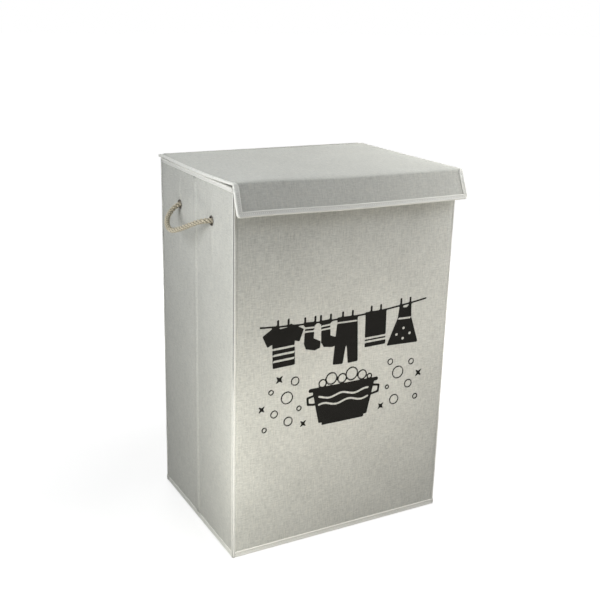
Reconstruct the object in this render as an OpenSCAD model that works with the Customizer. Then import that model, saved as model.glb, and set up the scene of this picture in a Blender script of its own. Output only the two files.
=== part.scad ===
// Folding laundry hamper with a hinged lid. All sizes are in millimetres.
// X runs across the front, Y runs to the back, Z is up.
// The origin is the centre of the underside, on the floor.
// Every wall is a sandwich: outer fabric, stiff card, lining fabric.

/* [Body] */
// Width of the body over its outer fabric
body_w = 392; // [300:1:480]
// Depth of the body over its outer fabric
body_d = 291; // [220:1:360]
// Height of the body, from the floor to the rim
body_h = 600; // [400:5:700]

/* [Layers] */
// Thickness of the outer fabric
cover_t = 0.8; // [0.4:0.1:1.5]
// Thickness of the card in the walls, the base and the lid
card_t = 2.4; // [1.5:0.1:4]
// Thickness of the lining fabric
lining_t = 0.8; // [0.4:0.1:1.5]
// Thickness of the card in the flap
flap_card_t = 2.0; // [1:0.1:3]

/* [Binding tape] */
// Thickness of the tape folded over the edges
tape_t = 0.7; // [0.4:0.1:1.2]
// How far the tape reaches in from an edge
tape_w = 10; // [6:0.5:16]
// Reach of the corner tape along the front and the back
corner_w = 5; // [3:0.5:12]

/* [Lid] */
// Overhang of the lid past each side wall
lid_side = 4.5; // [1:0.5:10]
// Overhang of the lid past the back wall
lid_rear = 3; // [2.5:0.5:10]
// Overhang of the lid card past the front wall
lid_front = 3.5; // [2:0.5:10]
// Width of the cloth strip that hinges the lid, down the back wall
hinge_strip_h = 26; // [15:1:60]

/* [Front flap] */
// Length of the flap below its crease
flap_len = 46; // [25:1:90]
// Angle at which the flap stands away from the front wall, in degrees
flap_angle = 21; // [0:1:60]
// Outer radius of the soft fold between the lid and the flap
fold_r = 4; // [4:0.5:8]
// Free cloth between the fold and the flap's card
crease_w = 5; // [5:0.5:10]

/* [Handles] */
// Distance between the two eyelets of one handle
eyelet_spacing = 128; // [90:1:180]
// Depth of the eyelets below the rim
eyelet_drop = 63; // [40:1:120]
// Bore radius of an eyelet
eyelet_bore_r = 6; // [5:0.1:8]
// Wall thickness of an eyelet's barrel
barrel_t = 0.8; // [0.5:0.1:1.5]
// Outer radius of an eyelet's flange
flange_r = 8; // [7.5:0.1:14]
// Thickness of an eyelet's flange
flange_t = 0.9; // [0.5:0.1:1.5]
// Diameter of the rope
rope_d = 8.5; // [6:0.5:10]
// How far the middle of the rope loop stands out from the wall
rope_reach = 39; // [30:1:80]
// How far the middle of the rope loop droops
rope_droop = 27; // [0:1:40]
// Thickness of a stopper knot, inside the wall
knot_t = 10.5; // [8:0.5:11]
// Radius of a stopper knot
knot_r = 9.5; // [7:0.5:12]

/* [Clearances] */
// Gap between parts that turn past each other
turn_gap = 0.3; // [0.2:0.05:0.6]
// Gap between the rim and the closed lid
lid_gap = 0.3; // [0.2:0.05:1]
// Gap between an eyelet's barrel and its hole
barrel_gap = 0.1; // [0.05:0.05:0.3]
// Gap between the ends of the rope loop and the eyelets
rope_end_gap = 0.4; // [0.3:0.1:1]

/* [Hidden] */
wall_t = cover_t + card_t + lining_t;
half_w = body_w / 2;
half_d = body_d / 2;
in_w = half_w - wall_t;
in_d = half_d - wall_t;
// Turning lines of the walls. The side walls fold inward on them.
base_turn_y = in_d - tape_t - turn_gap;
rear_turn_y = base_turn_y - wall_t - tape_t - turn_gap;
front_turn_y = -(in_d - 2 * tape_t - 1.7 * turn_gap);
crease_y = (rear_turn_y + front_turn_y) / 2;
crease_x = half_w + tape_t + turn_gap;
side_end = in_d - turn_gap;
lip_end_x = in_w - tape_t - 0.8;
base_x = in_w - tape_t - turn_gap;
// Lid.
lid_z = body_h + lid_gap + tape_t;
lid_top = lid_z + wall_t;
lid_w2 = half_w + lid_side - tape_t;
lid_y0 = -(half_d + lid_front);
lid_y1 = half_d + lid_rear - tape_t;
lid_turn_y = half_d + lid_rear;
// Flap. Its own frame has the turning line at the origin.
flap_t = cover_t + flap_card_t + lining_t;
fold_y = lid_y0;
fold_z = lid_top - fold_r;
flap_far = -flap_len + tape_t;
fold_n = 10;
// Handles.
eyelet_z = body_h - eyelet_drop;
barrel_r = eyelet_bore_r + barrel_t;
hole_r = barrel_r + barrel_gap;
rope_r = rope_d / 2;
rope_x = half_w + flange_t + rope_end_gap;
rope_half = eyelet_spacing / 2;
rope_steps = 4;
rope_sides = 12;

// Which piece to show

// A block between two opposite corners, in any order.
module slab(a, b) {
    translate([min(a[0], b[0]), min(a[1], b[1]), min(a[2], b[2])])
        cube([abs(b[0] - a[0]), abs(b[1] - a[1]), abs(b[2] - a[2])]);
}

// ---- Front and back walls: s is -1 for the front and 1 for the back.
module end_cover(s) {
    difference() {
        slab([-half_w, s * half_d, tape_t], [half_w, s * in_d, body_h - tape_t]);
        slab([-half_w + cover_t, s * (half_d - cover_t), tape_t + cover_t],
             [half_w - cover_t, s * (in_d - 1), body_h - tape_t - cover_t]);
    }
}
module end_board(s) {
    slab([-half_w + cover_t, s * (half_d - cover_t), tape_t + cover_t],
         [half_w - cover_t, s * (in_d + lining_t), body_h - tape_t - cover_t]);
}
module end_lining(s) {
    slab([-half_w + cover_t, s * (in_d + lining_t), tape_t + cover_t],
         [half_w - cover_t, s * in_d, body_h - tape_t - cover_t]);
}
// Tape folded over an edge of a front or back wall, z0 at the edge and z1 further in.
module end_binding(s, z0, z1) {
    cap = z0 + (z1 > z0 ? tape_t : -tape_t);
    slab([-half_w - tape_t, s * (half_d + tape_t), z0], [half_w + tape_t, s * in_d, cap]);
    slab([-lip_end_x, s * in_d, z0], [lip_end_x, s * (in_d - tape_t), cap]);
    slab([-half_w - tape_t, s * (half_d + tape_t), z0], [half_w + tape_t, s * half_d, z1]);
    slab([-lip_end_x, s * in_d, z0], [lip_end_x, s * (in_d - tape_t), z1]);
    for (e = [-1, 1])
        slab([e * (half_w + tape_t), s * (half_d + tape_t), z0], [e * half_w, s * in_d, z1]);
}
// Upright tape over a corner: e is -1 on the left and 1 on the right.
module corner_seam(s, e) {
    slab([e * (half_w + tape_t), s * (half_d + tape_t), tape_w],
         [e * (half_w - corner_w), s * half_d, body_h - tape_w]);
    slab([e * (half_w + tape_t), s * (half_d + tape_t), tape_w],
         [e * half_w, s * in_d, body_h - tape_w]);
}

// ---- Half of a side wall: e is -1 left and 1 right, s is -1 front and 1 rear.
function near_y(s) = crease_y + s * turn_gap;
function far_y(s) = s * side_end;
module eyelet_hole(e, s) {
    translate([e * (half_w + 1), crease_y + s * rope_half, eyelet_z])
        rotate([0, -e * 90, 0])
            cylinder(r = hole_r, h = wall_t + 2, $fn = 48);
}
module side_cover(e, s) {
    difference() {
        slab([e * half_w, near_y(s), tape_t], [e * in_w, far_y(s), body_h - tape_t]);
        slab([e * (half_w - cover_t), near_y(s) + s * cover_t, tape_t + cover_t],
             [e * (in_w - 1), far_y(s) - s * cover_t, body_h - tape_t - cover_t]);
        eyelet_hole(e, s);
    }
}
module side_board(e, s) {
    difference() {
        slab([e * (half_w - cover_t), near_y(s) + s * cover_t, tape_t + cover_t],
             [e * (in_w + lining_t), far_y(s) - s * cover_t, body_h - tape_t - cover_t]);
        eyelet_hole(e, s);
    }
}
module side_lining(e, s) {
    difference() {
        slab([e * (in_w + lining_t), near_y(s) + s * cover_t, tape_t + cover_t],
             [e * in_w, far_y(s) - s * cover_t, body_h - tape_t - cover_t]);
        eyelet_hole(e, s);
    }
}
module side_binding(e, s, z0, z1) {
    cap = z0 + (z1 > z0 ? tape_t : -tape_t);
    slab([e * (half_w + tape_t), near_y(s), z0], [e * (in_w - tape_t), far_y(s), cap]);
    slab([e * (half_w + tape_t), near_y(s), z0], [e * half_w, far_y(s), z1]);
    slab([e * in_w, near_y(s), z0], [e * (in_w - tape_t), far_y(s), z1]);
}
// Eyelet: a barrel with a flange on each face of the wall. Its profile runs along the bore.
module eyelet(e, s) {
    edge = flange_t * 0.4;
    translate([e * half_w, crease_y + s * rope_half, eyelet_z])
        rotate([0, -e * 90, 0])
            rotate_extrude($fn = 48)
                polygon([
                    [eyelet_bore_r, -flange_t + edge],
                    [eyelet_bore_r + edge, -flange_t],
                    [flange_r - edge, -flange_t],
                    [flange_r, -flange_t + edge],
                    [flange_r, 0],
                    [barrel_r, 0],
                    [barrel_r, wall_t],
                    [flange_r, wall_t],
                    [flange_r, wall_t + flange_t - edge],
                    [flange_r - edge, wall_t + flange_t],
                    [eyelet_bore_r + edge, wall_t + flange_t],
                    [eyelet_bore_r, wall_t + flange_t - edge]
                ]);
}
// Stopper knot on the inner flange, with the rope's end running through the eyelet.
module knot(e, s) {
    x1 = wall_t + flange_t;
    x2 = wall_t + knot_t;
    xm = (x1 + x2) / 2;
    translate([e * half_w, crease_y + s * rope_half, eyelet_z])
        rotate([0, -e * 90, 0])
            rotate_extrude($fn = 32)
                polygon([
                    [0, -flange_t],
                    [rope_r, -flange_t],
                    [rope_r, x1],
                    [knot_r - 2, x1],
                    [knot_r - 0.5, x1 + 1],
                    [knot_r, x1 + 2.2],
                    [knot_r - 0.7, xm],
                    [knot_r, x2 - 2.6],
                    [knot_r - 0.5, x2 - 1.2],
                    [knot_r - 2.5, x2],
                    [0, x2]
                ]);
}

// ---- Base panel, which lies on the floor between the walls and hinges at the back.
module base_cover_shape() {
    difference() {
        slab([-base_x, -base_turn_y, 0], [base_x, base_turn_y, wall_t]);
        slab([-base_x + cover_t, -base_turn_y + cover_t, cover_t],
             [base_x - cover_t, base_turn_y - cover_t, wall_t + 1]);
    }
}
module base_layer(z0, z1) {
    slab([-base_x + cover_t, -base_turn_y + cover_t, z0],
         [base_x - cover_t, base_turn_y - cover_t, z1]);
}

// ---- Lid.
module lid_cover_shape() {
    difference() {
        slab([-lid_w2, lid_y0, lid_z], [lid_w2, lid_y1, lid_top]);
        slab([-lid_w2 + cover_t, lid_y0 + cover_t, lid_z - 1],
             [lid_w2 - cover_t, lid_y1 - cover_t, lid_top - cover_t]);
    }
}
module lid_layer(z0, z1) {
    slab([-lid_w2 + cover_t, lid_y0 + cover_t, z0], [lid_w2 - cover_t, lid_y1 - cover_t, z1]);
}
module lid_binding_shape() {
    difference() {
        slab([-lid_w2 - tape_t, lid_y0, lid_z - tape_t],
             [lid_w2 + tape_t, lid_y1 + tape_t, lid_top + tape_t]);
        slab([-lid_w2, lid_y0 - 1, lid_z], [lid_w2, lid_y1, lid_top]);
        slab([-lid_w2 + tape_w, lid_y0 - 1, lid_z - 2],
             [lid_w2 - tape_w, lid_y1 - tape_w, lid_top + 2]);
    }
}
// Cloth strip from the back wall's rim tape up to the lid's rear edge.
module hinge_strip_shape() {
    y0 = half_d + tape_t;
    y1 = lid_turn_y;
    rotate([90, 0, 90])
        translate([0, 0, -lip_end_x])
            linear_extrude(height = 2 * lip_end_x)
                polygon([
                    [y0, body_h - hinge_strip_h],
                    [y0 + cover_t, body_h - hinge_strip_h],
                    [y0 + cover_t, body_h - 3],
                    [y1 + cover_t, body_h - 0.5],
                    [y1 + cover_t, lid_top],
                    [y1, lid_top],
                    [y1, body_h],
                    [y0, body_h - 2.4]
                ]);
}

// ---- Flap, hanging straight down in its own frame.
module place_flap() {
    translate([0, fold_y, fold_z])
        rotate([-flap_angle, 0, 0])
            children();
}
module flap_cover_shape() {
    difference() {
        slab([-lid_w2, -fold_r, flap_far], [lid_w2, -fold_r + flap_t, -crease_w]);
        slab([-lid_w2 + cover_t, -fold_r + cover_t, flap_far + cover_t],
             [lid_w2 - cover_t, -fold_r + flap_t + 1, -crease_w - cover_t]);
    }
}
module flap_layer(y0, y1) {
    slab([-lid_w2 + cover_t, y0, flap_far + cover_t],
         [lid_w2 - cover_t, y1, -crease_w - cover_t]);
}
module flap_binding_shape() {
    difference() {
        slab([-lid_w2 - tape_t, -fold_r - tape_t, flap_far - tape_t],
             [lid_w2 + tape_t, -fold_r + flap_t + tape_t, -crease_w]);
        slab([-lid_w2, -fold_r, flap_far], [lid_w2, -fold_r + flap_t, 0]);
        slab([-lid_w2 + tape_w, -fold_r - 2, flap_far + tape_w - tape_t],
             [lid_w2 - tape_w, -fold_r + flap_t + 2, 0]);
    }
}
// Soft fold: a quarter of a thin tube and a straight run down to the flap.
function fold_arc(r, from, to) =
    [for (i = [0 : fold_n]) let (a = from + (to - from) * i / fold_n) [r * cos(a), r * sin(a)]];
module fold_shape() {
    // In this outline the first number runs to the back and the second up.
    from = 90;
    to = 180 - flap_angle;
    run = [-sin(flap_angle) * crease_w, -cos(flap_angle) * crease_w];
    outer = fold_arc(fold_r, from, to);
    inner = fold_arc(fold_r - cover_t, to, from);
    translate([0, fold_y, fold_z])
        rotate([90, 0, 90])
            translate([0, 0, -lid_w2])
                linear_extrude(height = 2 * lid_w2)
                    polygon(concat(outer, [outer[fold_n] + run], [inner[0] + run], inner));
}

// ---- Rope loop: a round tube swept along a smooth line through these points.
// Each point is [share of the reach, share of the half spacing, share of the droop].
rope_route = [
    [0.00, 1.00, 0.00], [0.26, 0.97, 0.16], [0.52, 0.88, 0.40], [0.74, 0.73, 0.60],
    [0.90, 0.54, 0.78], [0.99, 0.32, 0.94], [0.98, 0.10, 1.00], [0.88, -0.13, 0.84],
    [0.74, -0.35, 0.62], [0.58, -0.56, 0.38], [0.41, -0.75, 0.16], [0.20, -0.92, 0.02],
    [0.00, -1.00, 0.00]
];
function route_at(i) = rope_route[max(0, min(len(rope_route) - 1, i))];
function between(i, t) =
    let (p0 = route_at(i - 1), p1 = route_at(i), p2 = route_at(i + 1), p3 = route_at(i + 2))
    0.5 * (2 * p1 + (p2 - p0) * t + (2 * p0 - 5 * p1 + 4 * p2 - p3) * t * t
        + (3 * p1 - p0 - 3 * p2 + p3) * t * t * t);
function rope_place(q, e) = [
    e * (rope_x + q[0] * (rope_reach - rope_x + half_w)),
    crease_y + q[1] * rope_half,
    eyelet_z - q[2] * rope_droop
];
function rope_line(e) = concat(
    [for (i = [0 : len(rope_route) - 2]) for (k = [0 : rope_steps - 1])
        rope_place(between(i, k / rope_steps), e)],
    [rope_place(rope_route[len(rope_route) - 1], e)]);
function unit(v) = v / norm(v);
module rope(e) {
    line = rope_line(e);
    n = len(line);
    rings = [for (i = [0 : n - 1])
        let (
            along = i == 0 ? [e, 0, 0] : i == n - 1 ? [-e, 0, 0] : unit(line[i + 1] - line[i - 1]),
            side = unit(cross([0, 0, 1], along)),
            top = cross(along, side)
        )
        for (k = [0 : rope_sides - 1])
            let (a = 360 * k / rope_sides)
            line[i] + rope_r * (cos(a) * side + sin(a) * top)];
    walls = [for (i = [0 : n - 2]) for (k = [0 : rope_sides - 1])
        let (
            k2 = (k + 1) % rope_sides,
            a = i * rope_sides + k,
            b = i * rope_sides + k2,
            c = (i + 1) * rope_sides + k2,
            d = (i + 1) * rope_sides + k
        )
        each [[a, d, c], [a, c, b]]];
    first = [for (k = [0 : rope_sides - 1]) k];
    last = [for (k = [rope_sides - 1 : -1 : 0]) (n - 1) * rope_sides + k];
    polyhedron(points = rings, faces = concat([first], walls, [last]));
}

// ---- Back wall.
module back_board() { color([0.70, 0.58, 0.42]) end_board(1); }
module back_cover() { color([0.72, 0.72, 0.68]) end_cover(1); }
module back_lining() { color([0.86, 0.85, 0.81]) end_lining(1); }
module back_rim_binding() { color([0.90, 0.89, 0.86]) end_binding(1, body_h, body_h - tape_w); }
module back_bottom_binding() { color([0.90, 0.89, 0.86]) end_binding(1, 0, tape_w); }
module rear_left_corner_seam() { color([0.84, 0.84, 0.80]) corner_seam(1, -1); }
module rear_right_corner_seam() { color([0.84, 0.84, 0.80]) corner_seam(1, 1); }

// ---- Left side wall, rear half.
module left_rear_board() { color([0.70, 0.58, 0.42]) side_board(-1, 1); }
module left_rear_cover() { color([0.72, 0.72, 0.68]) side_cover(-1, 1); }
module left_rear_lining() { color([0.86, 0.85, 0.81]) side_lining(-1, 1); }
module left_rear_rim_binding() {
    color([0.90, 0.89, 0.86]) side_binding(-1, 1, body_h, body_h - tape_w);
}
module left_rear_bottom_binding() { color([0.90, 0.89, 0.86]) side_binding(-1, 1, 0, tape_w); }
module left_rear_eyelet() { color([0.55, 0.54, 0.50]) eyelet(-1, 1); }

// ---- Left side wall, front half.
module left_front_board() { color([0.70, 0.58, 0.42]) side_board(-1, -1); }
module left_front_cover() { color([0.72, 0.72, 0.68]) side_cover(-1, -1); }
module left_front_lining() { color([0.86, 0.85, 0.81]) side_lining(-1, -1); }
module left_front_rim_binding() {
    color([0.90, 0.89, 0.86]) side_binding(-1, -1, body_h, body_h - tape_w);
}
module left_front_bottom_binding() { color([0.90, 0.89, 0.86]) side_binding(-1, -1, 0, tape_w); }
module left_front_eyelet() { color([0.55, 0.54, 0.50]) eyelet(-1, -1); }

// ---- Right side wall, rear half.
module right_rear_board() { color([0.70, 0.58, 0.42]) side_board(1, 1); }
module right_rear_cover() { color([0.72, 0.72, 0.68]) side_cover(1, 1); }
module right_rear_lining() { color([0.86, 0.85, 0.81]) side_lining(1, 1); }
module right_rear_rim_binding() {
    color([0.90, 0.89, 0.86]) side_binding(1, 1, body_h, body_h - tape_w);
}
module right_rear_bottom_binding() { color([0.90, 0.89, 0.86]) side_binding(1, 1, 0, tape_w); }
module right_rear_eyelet() { color([0.55, 0.54, 0.50]) eyelet(1, 1); }

// ---- Right side wall, front half.
module right_front_board() { color([0.70, 0.58, 0.42]) side_board(1, -1); }
module right_front_cover() { color([0.72, 0.72, 0.68]) side_cover(1, -1); }
module right_front_lining() { color([0.86, 0.85, 0.81]) side_lining(1, -1); }
module right_front_rim_binding() {
    color([0.90, 0.89, 0.86]) side_binding(1, -1, body_h, body_h - tape_w);
}
module right_front_bottom_binding() { color([0.90, 0.89, 0.86]) side_binding(1, -1, 0, tape_w); }
module right_front_eyelet() { color([0.55, 0.54, 0.50]) eyelet(1, -1); }

// ---- Front wall.
module front_board() { color([0.70, 0.58, 0.42]) end_board(-1); }
module front_cover() { color([0.72, 0.72, 0.68]) end_cover(-1); }
module front_lining() { color([0.86, 0.85, 0.81]) end_lining(-1); }
module front_rim_binding() { color([0.90, 0.89, 0.86]) end_binding(-1, body_h, body_h - tape_w); }
module front_bottom_binding() { color([0.90, 0.89, 0.86]) end_binding(-1, 0, tape_w); }
module front_left_corner_seam() { color([0.84, 0.84, 0.80]) corner_seam(-1, -1); }
module front_right_corner_seam() { color([0.84, 0.84, 0.80]) corner_seam(-1, 1); }

// ---- Base panel.
module base_board() { color([0.70, 0.58, 0.42]) base_layer(cover_t, cover_t + card_t); }
module base_cover() { color([0.72, 0.72, 0.68]) base_cover_shape(); }
module base_lining() { color([0.86, 0.85, 0.81]) base_layer(cover_t + card_t, wall_t); }

// ---- Lid.
module lid_board() {
    color([0.70, 0.58, 0.42]) lid_layer(lid_z + lining_t, lid_z + lining_t + card_t);
}
module lid_cover() { color([0.76, 0.76, 0.72]) lid_cover_shape(); }
module lid_lining() { color([0.86, 0.85, 0.81]) lid_layer(lid_z, lid_z + lining_t); }
module lid_binding() { color([0.90, 0.89, 0.86]) lid_binding_shape(); }
module lid_hinge_strip() { color([0.72, 0.72, 0.68]) hinge_strip_shape(); }

// ---- Flap.
module flap_fold() { color([0.76, 0.76, 0.72]) fold_shape(); }
module flap_board() {
    color([0.70, 0.58, 0.42])
        place_flap()
            flap_layer(-fold_r + cover_t, -fold_r + cover_t + flap_card_t);
}
module flap_cover() { color([0.66, 0.66, 0.62]) place_flap() flap_cover_shape(); }
module flap_lining() {
    color([0.86, 0.85, 0.81])
        place_flap()
            flap_layer(-fold_r + cover_t + flap_card_t, -fold_r + flap_t);
}
module flap_binding() { color([0.90, 0.89, 0.86]) place_flap() flap_binding_shape(); }

// ---- Rope handles.
module left_rope() { color([0.66, 0.60, 0.50]) rope(-1); }
module left_rear_knot() { color([0.66, 0.60, 0.50]) knot(-1, 1); }
module left_front_knot() { color([0.66, 0.60, 0.50]) knot(-1, -1); }
module right_rope() { color([0.66, 0.60, 0.50]) rope(1); }
module right_rear_knot() { color([0.66, 0.60, 0.50]) knot(1, 1); }
module right_front_knot() { color([0.66, 0.60, 0.50]) knot(1, -1); }

back_board();
back_cover();
back_lining();
back_rim_binding();
back_bottom_binding();
rear_left_corner_seam();
rear_right_corner_seam();
left_rear_board();
left_rear_cover();
left_rear_lining();
left_rear_rim_binding();
left_rear_bottom_binding();
left_rear_eyelet();
left_front_board();
left_front_cover();
left_front_lining();
left_front_rim_binding();
left_front_bottom_binding();
left_front_eyelet();
right_rear_board();
right_rear_cover();
right_rear_lining();
right_rear_rim_binding();
right_rear_bottom_binding();
right_rear_eyelet();
right_front_board();
right_front_cover();
right_front_lining();
right_front_rim_binding();
right_front_bottom_binding();
right_front_eyelet();
front_board();
front_cover();
front_lining();
front_rim_binding();
front_bottom_binding();
front_left_corner_seam();
front_right_corner_seam();
base_board();
base_cover();
base_lining();
lid_board();
lid_cover();
lid_lining();
lid_binding();
lid_hinge_strip();
flap_fold();
flap_board();
flap_cover();
flap_lining();
flap_binding();
left_rope();
left_rear_knot();
left_front_knot();
right_rope();
right_rear_knot();
right_front_knot();
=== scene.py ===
"""A folding laundry hamper: cloth over card, bound edges, a hinged lid with a flap, rope handles."""
import logging
import math
from dataclasses import dataclass, field
from enum import Enum
from typing import Callable, Sequence

import bmesh
import bpy
from mathutils import Matrix, Vector, noise


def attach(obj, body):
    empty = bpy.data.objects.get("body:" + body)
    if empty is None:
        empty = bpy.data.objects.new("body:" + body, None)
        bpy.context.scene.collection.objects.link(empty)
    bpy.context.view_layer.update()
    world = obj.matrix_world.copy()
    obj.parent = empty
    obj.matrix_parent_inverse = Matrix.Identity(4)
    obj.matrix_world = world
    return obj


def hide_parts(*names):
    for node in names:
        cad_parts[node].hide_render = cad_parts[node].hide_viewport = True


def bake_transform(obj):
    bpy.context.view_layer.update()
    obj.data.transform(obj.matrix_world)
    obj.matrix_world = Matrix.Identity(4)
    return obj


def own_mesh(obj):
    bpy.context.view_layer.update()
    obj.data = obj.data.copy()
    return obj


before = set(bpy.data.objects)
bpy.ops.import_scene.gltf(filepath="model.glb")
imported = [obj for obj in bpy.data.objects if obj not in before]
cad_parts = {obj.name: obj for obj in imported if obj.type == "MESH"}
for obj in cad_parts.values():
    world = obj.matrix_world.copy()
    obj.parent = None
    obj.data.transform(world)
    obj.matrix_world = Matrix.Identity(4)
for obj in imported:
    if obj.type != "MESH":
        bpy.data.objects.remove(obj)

LOG = logging.getLogger("hamper")
MM = 0.001
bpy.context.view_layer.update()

Point = tuple[float, float, float]
Pair = tuple[float, float]


# ---------------------------------------------------------------- sizes and places


@dataclass(frozen=True)
class HamperSizes:
    """The hamper's own sizes, in metres, as its solids have them."""

    half_w: float = 0.196
    half_d: float = 0.1455
    height: float = 0.600
    wall: float = 0.004
    cloth: float = 0.0008
    tape: float = 0.0007
    band: float = 0.010
    turn_gap: float = 0.0003
    crease_y: float = -0.002045
    side_end: float = 0.1412
    eyelet_z: float = 0.537
    eyelet_half: float = 0.064
    eyelet_bore: float = 0.006
    flange_r: float = 0.008
    hole_r: float = 0.0067
    rope_d: float = 0.0085
    rope_x: float = 0.1973
    base_half_x: float = 0.191
    base_half_y: float = 0.1405
    lid_half: float = 0.1998
    lid_bottom: float = 0.601
    lid_top: float = 0.605
    lid_front: float = -0.149
    lid_rear: float = 0.1478
    lid_turn_y: float = 0.1485
    fold_r: float = 0.004
    flap_angle: float = 21.0
    flap_end: float = 0.0453
    flap_t: float = 0.0036
    crease_w: float = 0.005
    rim_leg: float = 0.0062
    foot_leg: float = 0.0093
    strip_half: float = 0.1905
    crease_soft: float = 0.003
    corner_soft: Pair = (0.0036, 0.0046)

    @property
    def mid(self) -> float:
        """Half way up the walls."""
        return self.height / 2

    def leg_at(self, edge: float) -> float:
        """How far down or up a wall the tape over an edge reaches."""
        return self.rim_leg if edge > self.mid else self.foot_leg


SIZES = HamperSizes()

# How far past an edge the cloth reaches, in two steps, and what its two hems add to the cut.
TURN_IN = (0.0012, 0.004)

# The same for the lid's cloth, whose hems are shorter in front and behind.
LID_TURN_IN = (0.0012, 0.0034)


class Body(str, Enum):
    """The bodies that pieces ride on."""

    BACK = "back_wall"
    LEFT_REAR = "left_rear_half"
    LEFT_FRONT = "left_front_half"
    RIGHT_REAR = "right_rear_half"
    RIGHT_FRONT = "right_front_half"
    FRONT = "front_wall"
    BASE = "base_panel"
    LID = "lid"
    FLAP = "flap"
    LEFT_HANDLE = "left_handle"
    RIGHT_HANDLE = "right_handle"


class Slot(str, Enum):
    """The record's material slots."""

    BODY = "body_fabric"
    LINING = "lining_fabric"
    TAPE = "binding_tape"
    CARD = "card"
    METAL = "eyelet_metal"
    ROPE = "rope"


@dataclass(frozen=True)
class Plane:
    """A flat face of the hamper: where it starts, its two directions, and which way is out."""

    origin: Point
    right: Point
    up: Point

    def at(self, u: float, v: float, n: float = 0.0) -> Vector:
        """The point u to the right, v up and n out of the face.

        Args:
            u: distance along the face's right direction.
            v: distance along its up direction.
            n: distance out of the face.

        Returns:
            The point in the hamper's frame.
        """
        right, up = Vector(self.right), Vector(self.up)
        return Vector(self.origin) + u * right + v * up + n * right.cross(up)


FACES: dict[str, Plane] = {
    "front": Plane((0, -SIZES.half_d, 0), (1, 0, 0), (0, 0, 1)),
    "back": Plane((0, SIZES.half_d, 0), (-1, 0, 0), (0, 0, 1)),
    "left": Plane((-SIZES.half_w, 0, 0), (0, -1, 0), (0, 0, 1)),
    "right": Plane((SIZES.half_w, 0, 0), (0, 1, 0), (0, 0, 1)),
    "front_in": Plane((0, -SIZES.half_d + SIZES.wall, 0), (-1, 0, 0), (0, 0, 1)),
    "back_in": Plane((0, SIZES.half_d - SIZES.wall, 0), (1, 0, 0), (0, 0, 1)),
    "left_in": Plane((-SIZES.half_w + SIZES.wall, 0, 0), (0, 1, 0), (0, 0, 1)),
    "right_in": Plane((SIZES.half_w - SIZES.wall, 0, 0), (0, -1, 0), (0, 0, 1)),
    "base_in": Plane((0, 0, SIZES.wall), (1, 0, 0), (0, 1, 0)),
    "base_under": Plane((0, 0, 0), (-1, 0, 0), (0, 1, 0)),
    "lid_under": Plane((0, 0, SIZES.lid_bottom), (-1, 0, 0), (0, 1, 0)),
}


# How far in from an edge the padding under a cloth has its full height.
PADDED = 0.03

# About how far apart the stations are along a rope, along a wall's tape and along a panel's.
ROPE_STEP = 0.0011
TAPE_STEP = 0.007
PANEL_STEP = 0.008


# ---------------------------------------------------------------- curves in numbers


def smooth(t: float) -> float:
    """An even rise from 0 to 1 as t goes from 0 to 1."""
    t = min(1.0, max(0.0, t))
    return t * t * (3 - 2 * t)


def hump(x: float, centre: float, half: float) -> float:
    """A soft hump of height 1 at centre that is gone half away from it."""
    return smooth(1 - abs(x - centre) / half)


def steps(low: float, high: float, count: int) -> list[float]:
    """Evenly spaced values from low to high, both among them."""
    return [low + (high - low) * i / count for i in range(count + 1)]


def widened(values: Sequence[float], past: Sequence[float]) -> list[float]:
    """The same values, with more of them past each end.

    Args:
        values: the values, in order.
        past: how far past each end the added ones are.

    Returns:
        All of them, in order.
    """
    return [values[0] - t for t in reversed(past)] + list(values) + [values[-1] + t for t in past]


def crumple(p: Vector, scale: float, seed: float) -> float:
    """Smooth unevenness of about -1 to 1 at a point.

    Args:
        p: the point, in metres.
        scale: how many swells there are to a metre.
        seed: moves the pattern, so that no two faces match.

    Returns:
        The height of the swell there.
    """
    return noise.noise(Vector((p.x * scale + seed, p.y * scale - seed, p.z * scale + 2 * seed)))


def through(points: Sequence[Sequence[float]], per_step: int) -> list[Vector]:
    """A smooth line through points.

    Args:
        points: the points that it goes through, in order.
        per_step: how many pieces the line has between two of them.

    Returns:
        The line's own points.
    """
    p = [Vector(q) for q in points]
    line = []
    for i in range(len(p) - 1):
        a, b, c, d = p[max(i - 1, 0)], p[i], p[i + 1], p[min(i + 2, len(p) - 1)]
        for k in range(per_step):
            t = k / per_step
            line.append(
                0.5 * (2 * b + (c - a) * t + (2 * a - 5 * b + 4 * c - d) * t * t
                       + (3 * b - a - 3 * c + d) * t ** 3)
            )
    return line + [p[-1]]


def even(line: Sequence[Vector], step: float) -> list[Vector]:
    """The same line with its points about step apart.

    Args:
        line: the line's points.
        step: how far apart they are to be.

    Returns:
        The new points, the first and the last where they were.
    """
    far = [0.0]
    for a, b in zip(line, line[1:]):
        far.append(far[-1] + (b - a).length)
    count = max(2, round(far[-1] / step))
    out, k = [], 0
    for i in range(count + 1):
        want = far[-1] * i / count
        while k < len(far) - 2 and far[k + 1] < want:
            k += 1
        share = (want - far[k]) / max(far[k + 1] - far[k], 1e-9)
        out.append(line[k].lerp(line[k + 1], min(1.0, share)))
    return out


# ---------------------------------------------------------------- finishes


def add_node(tree: bpy.types.NodeTree, kind: str, inputs: dict | None = None,
             **settings: object) -> bpy.types.Node:
    """Adds a shader node.

    Args:
        tree: the node tree that it goes into.
        kind: the node's type name without its ShaderNode start.
        inputs: a socket's name or number to a value or to another node's socket.
        settings: the node's own properties.

    Returns:
        The node.
    """
    node = tree.nodes.new("ShaderNode" + kind)
    for key, value in settings.items():
        setattr(node, key, value)
    for key, value in (inputs or {}).items():
        if isinstance(value, bpy.types.NodeSocket):
            tree.links.new(value, node.inputs[key])
        else:
            node.inputs[key].default_value = value
    return node


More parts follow.
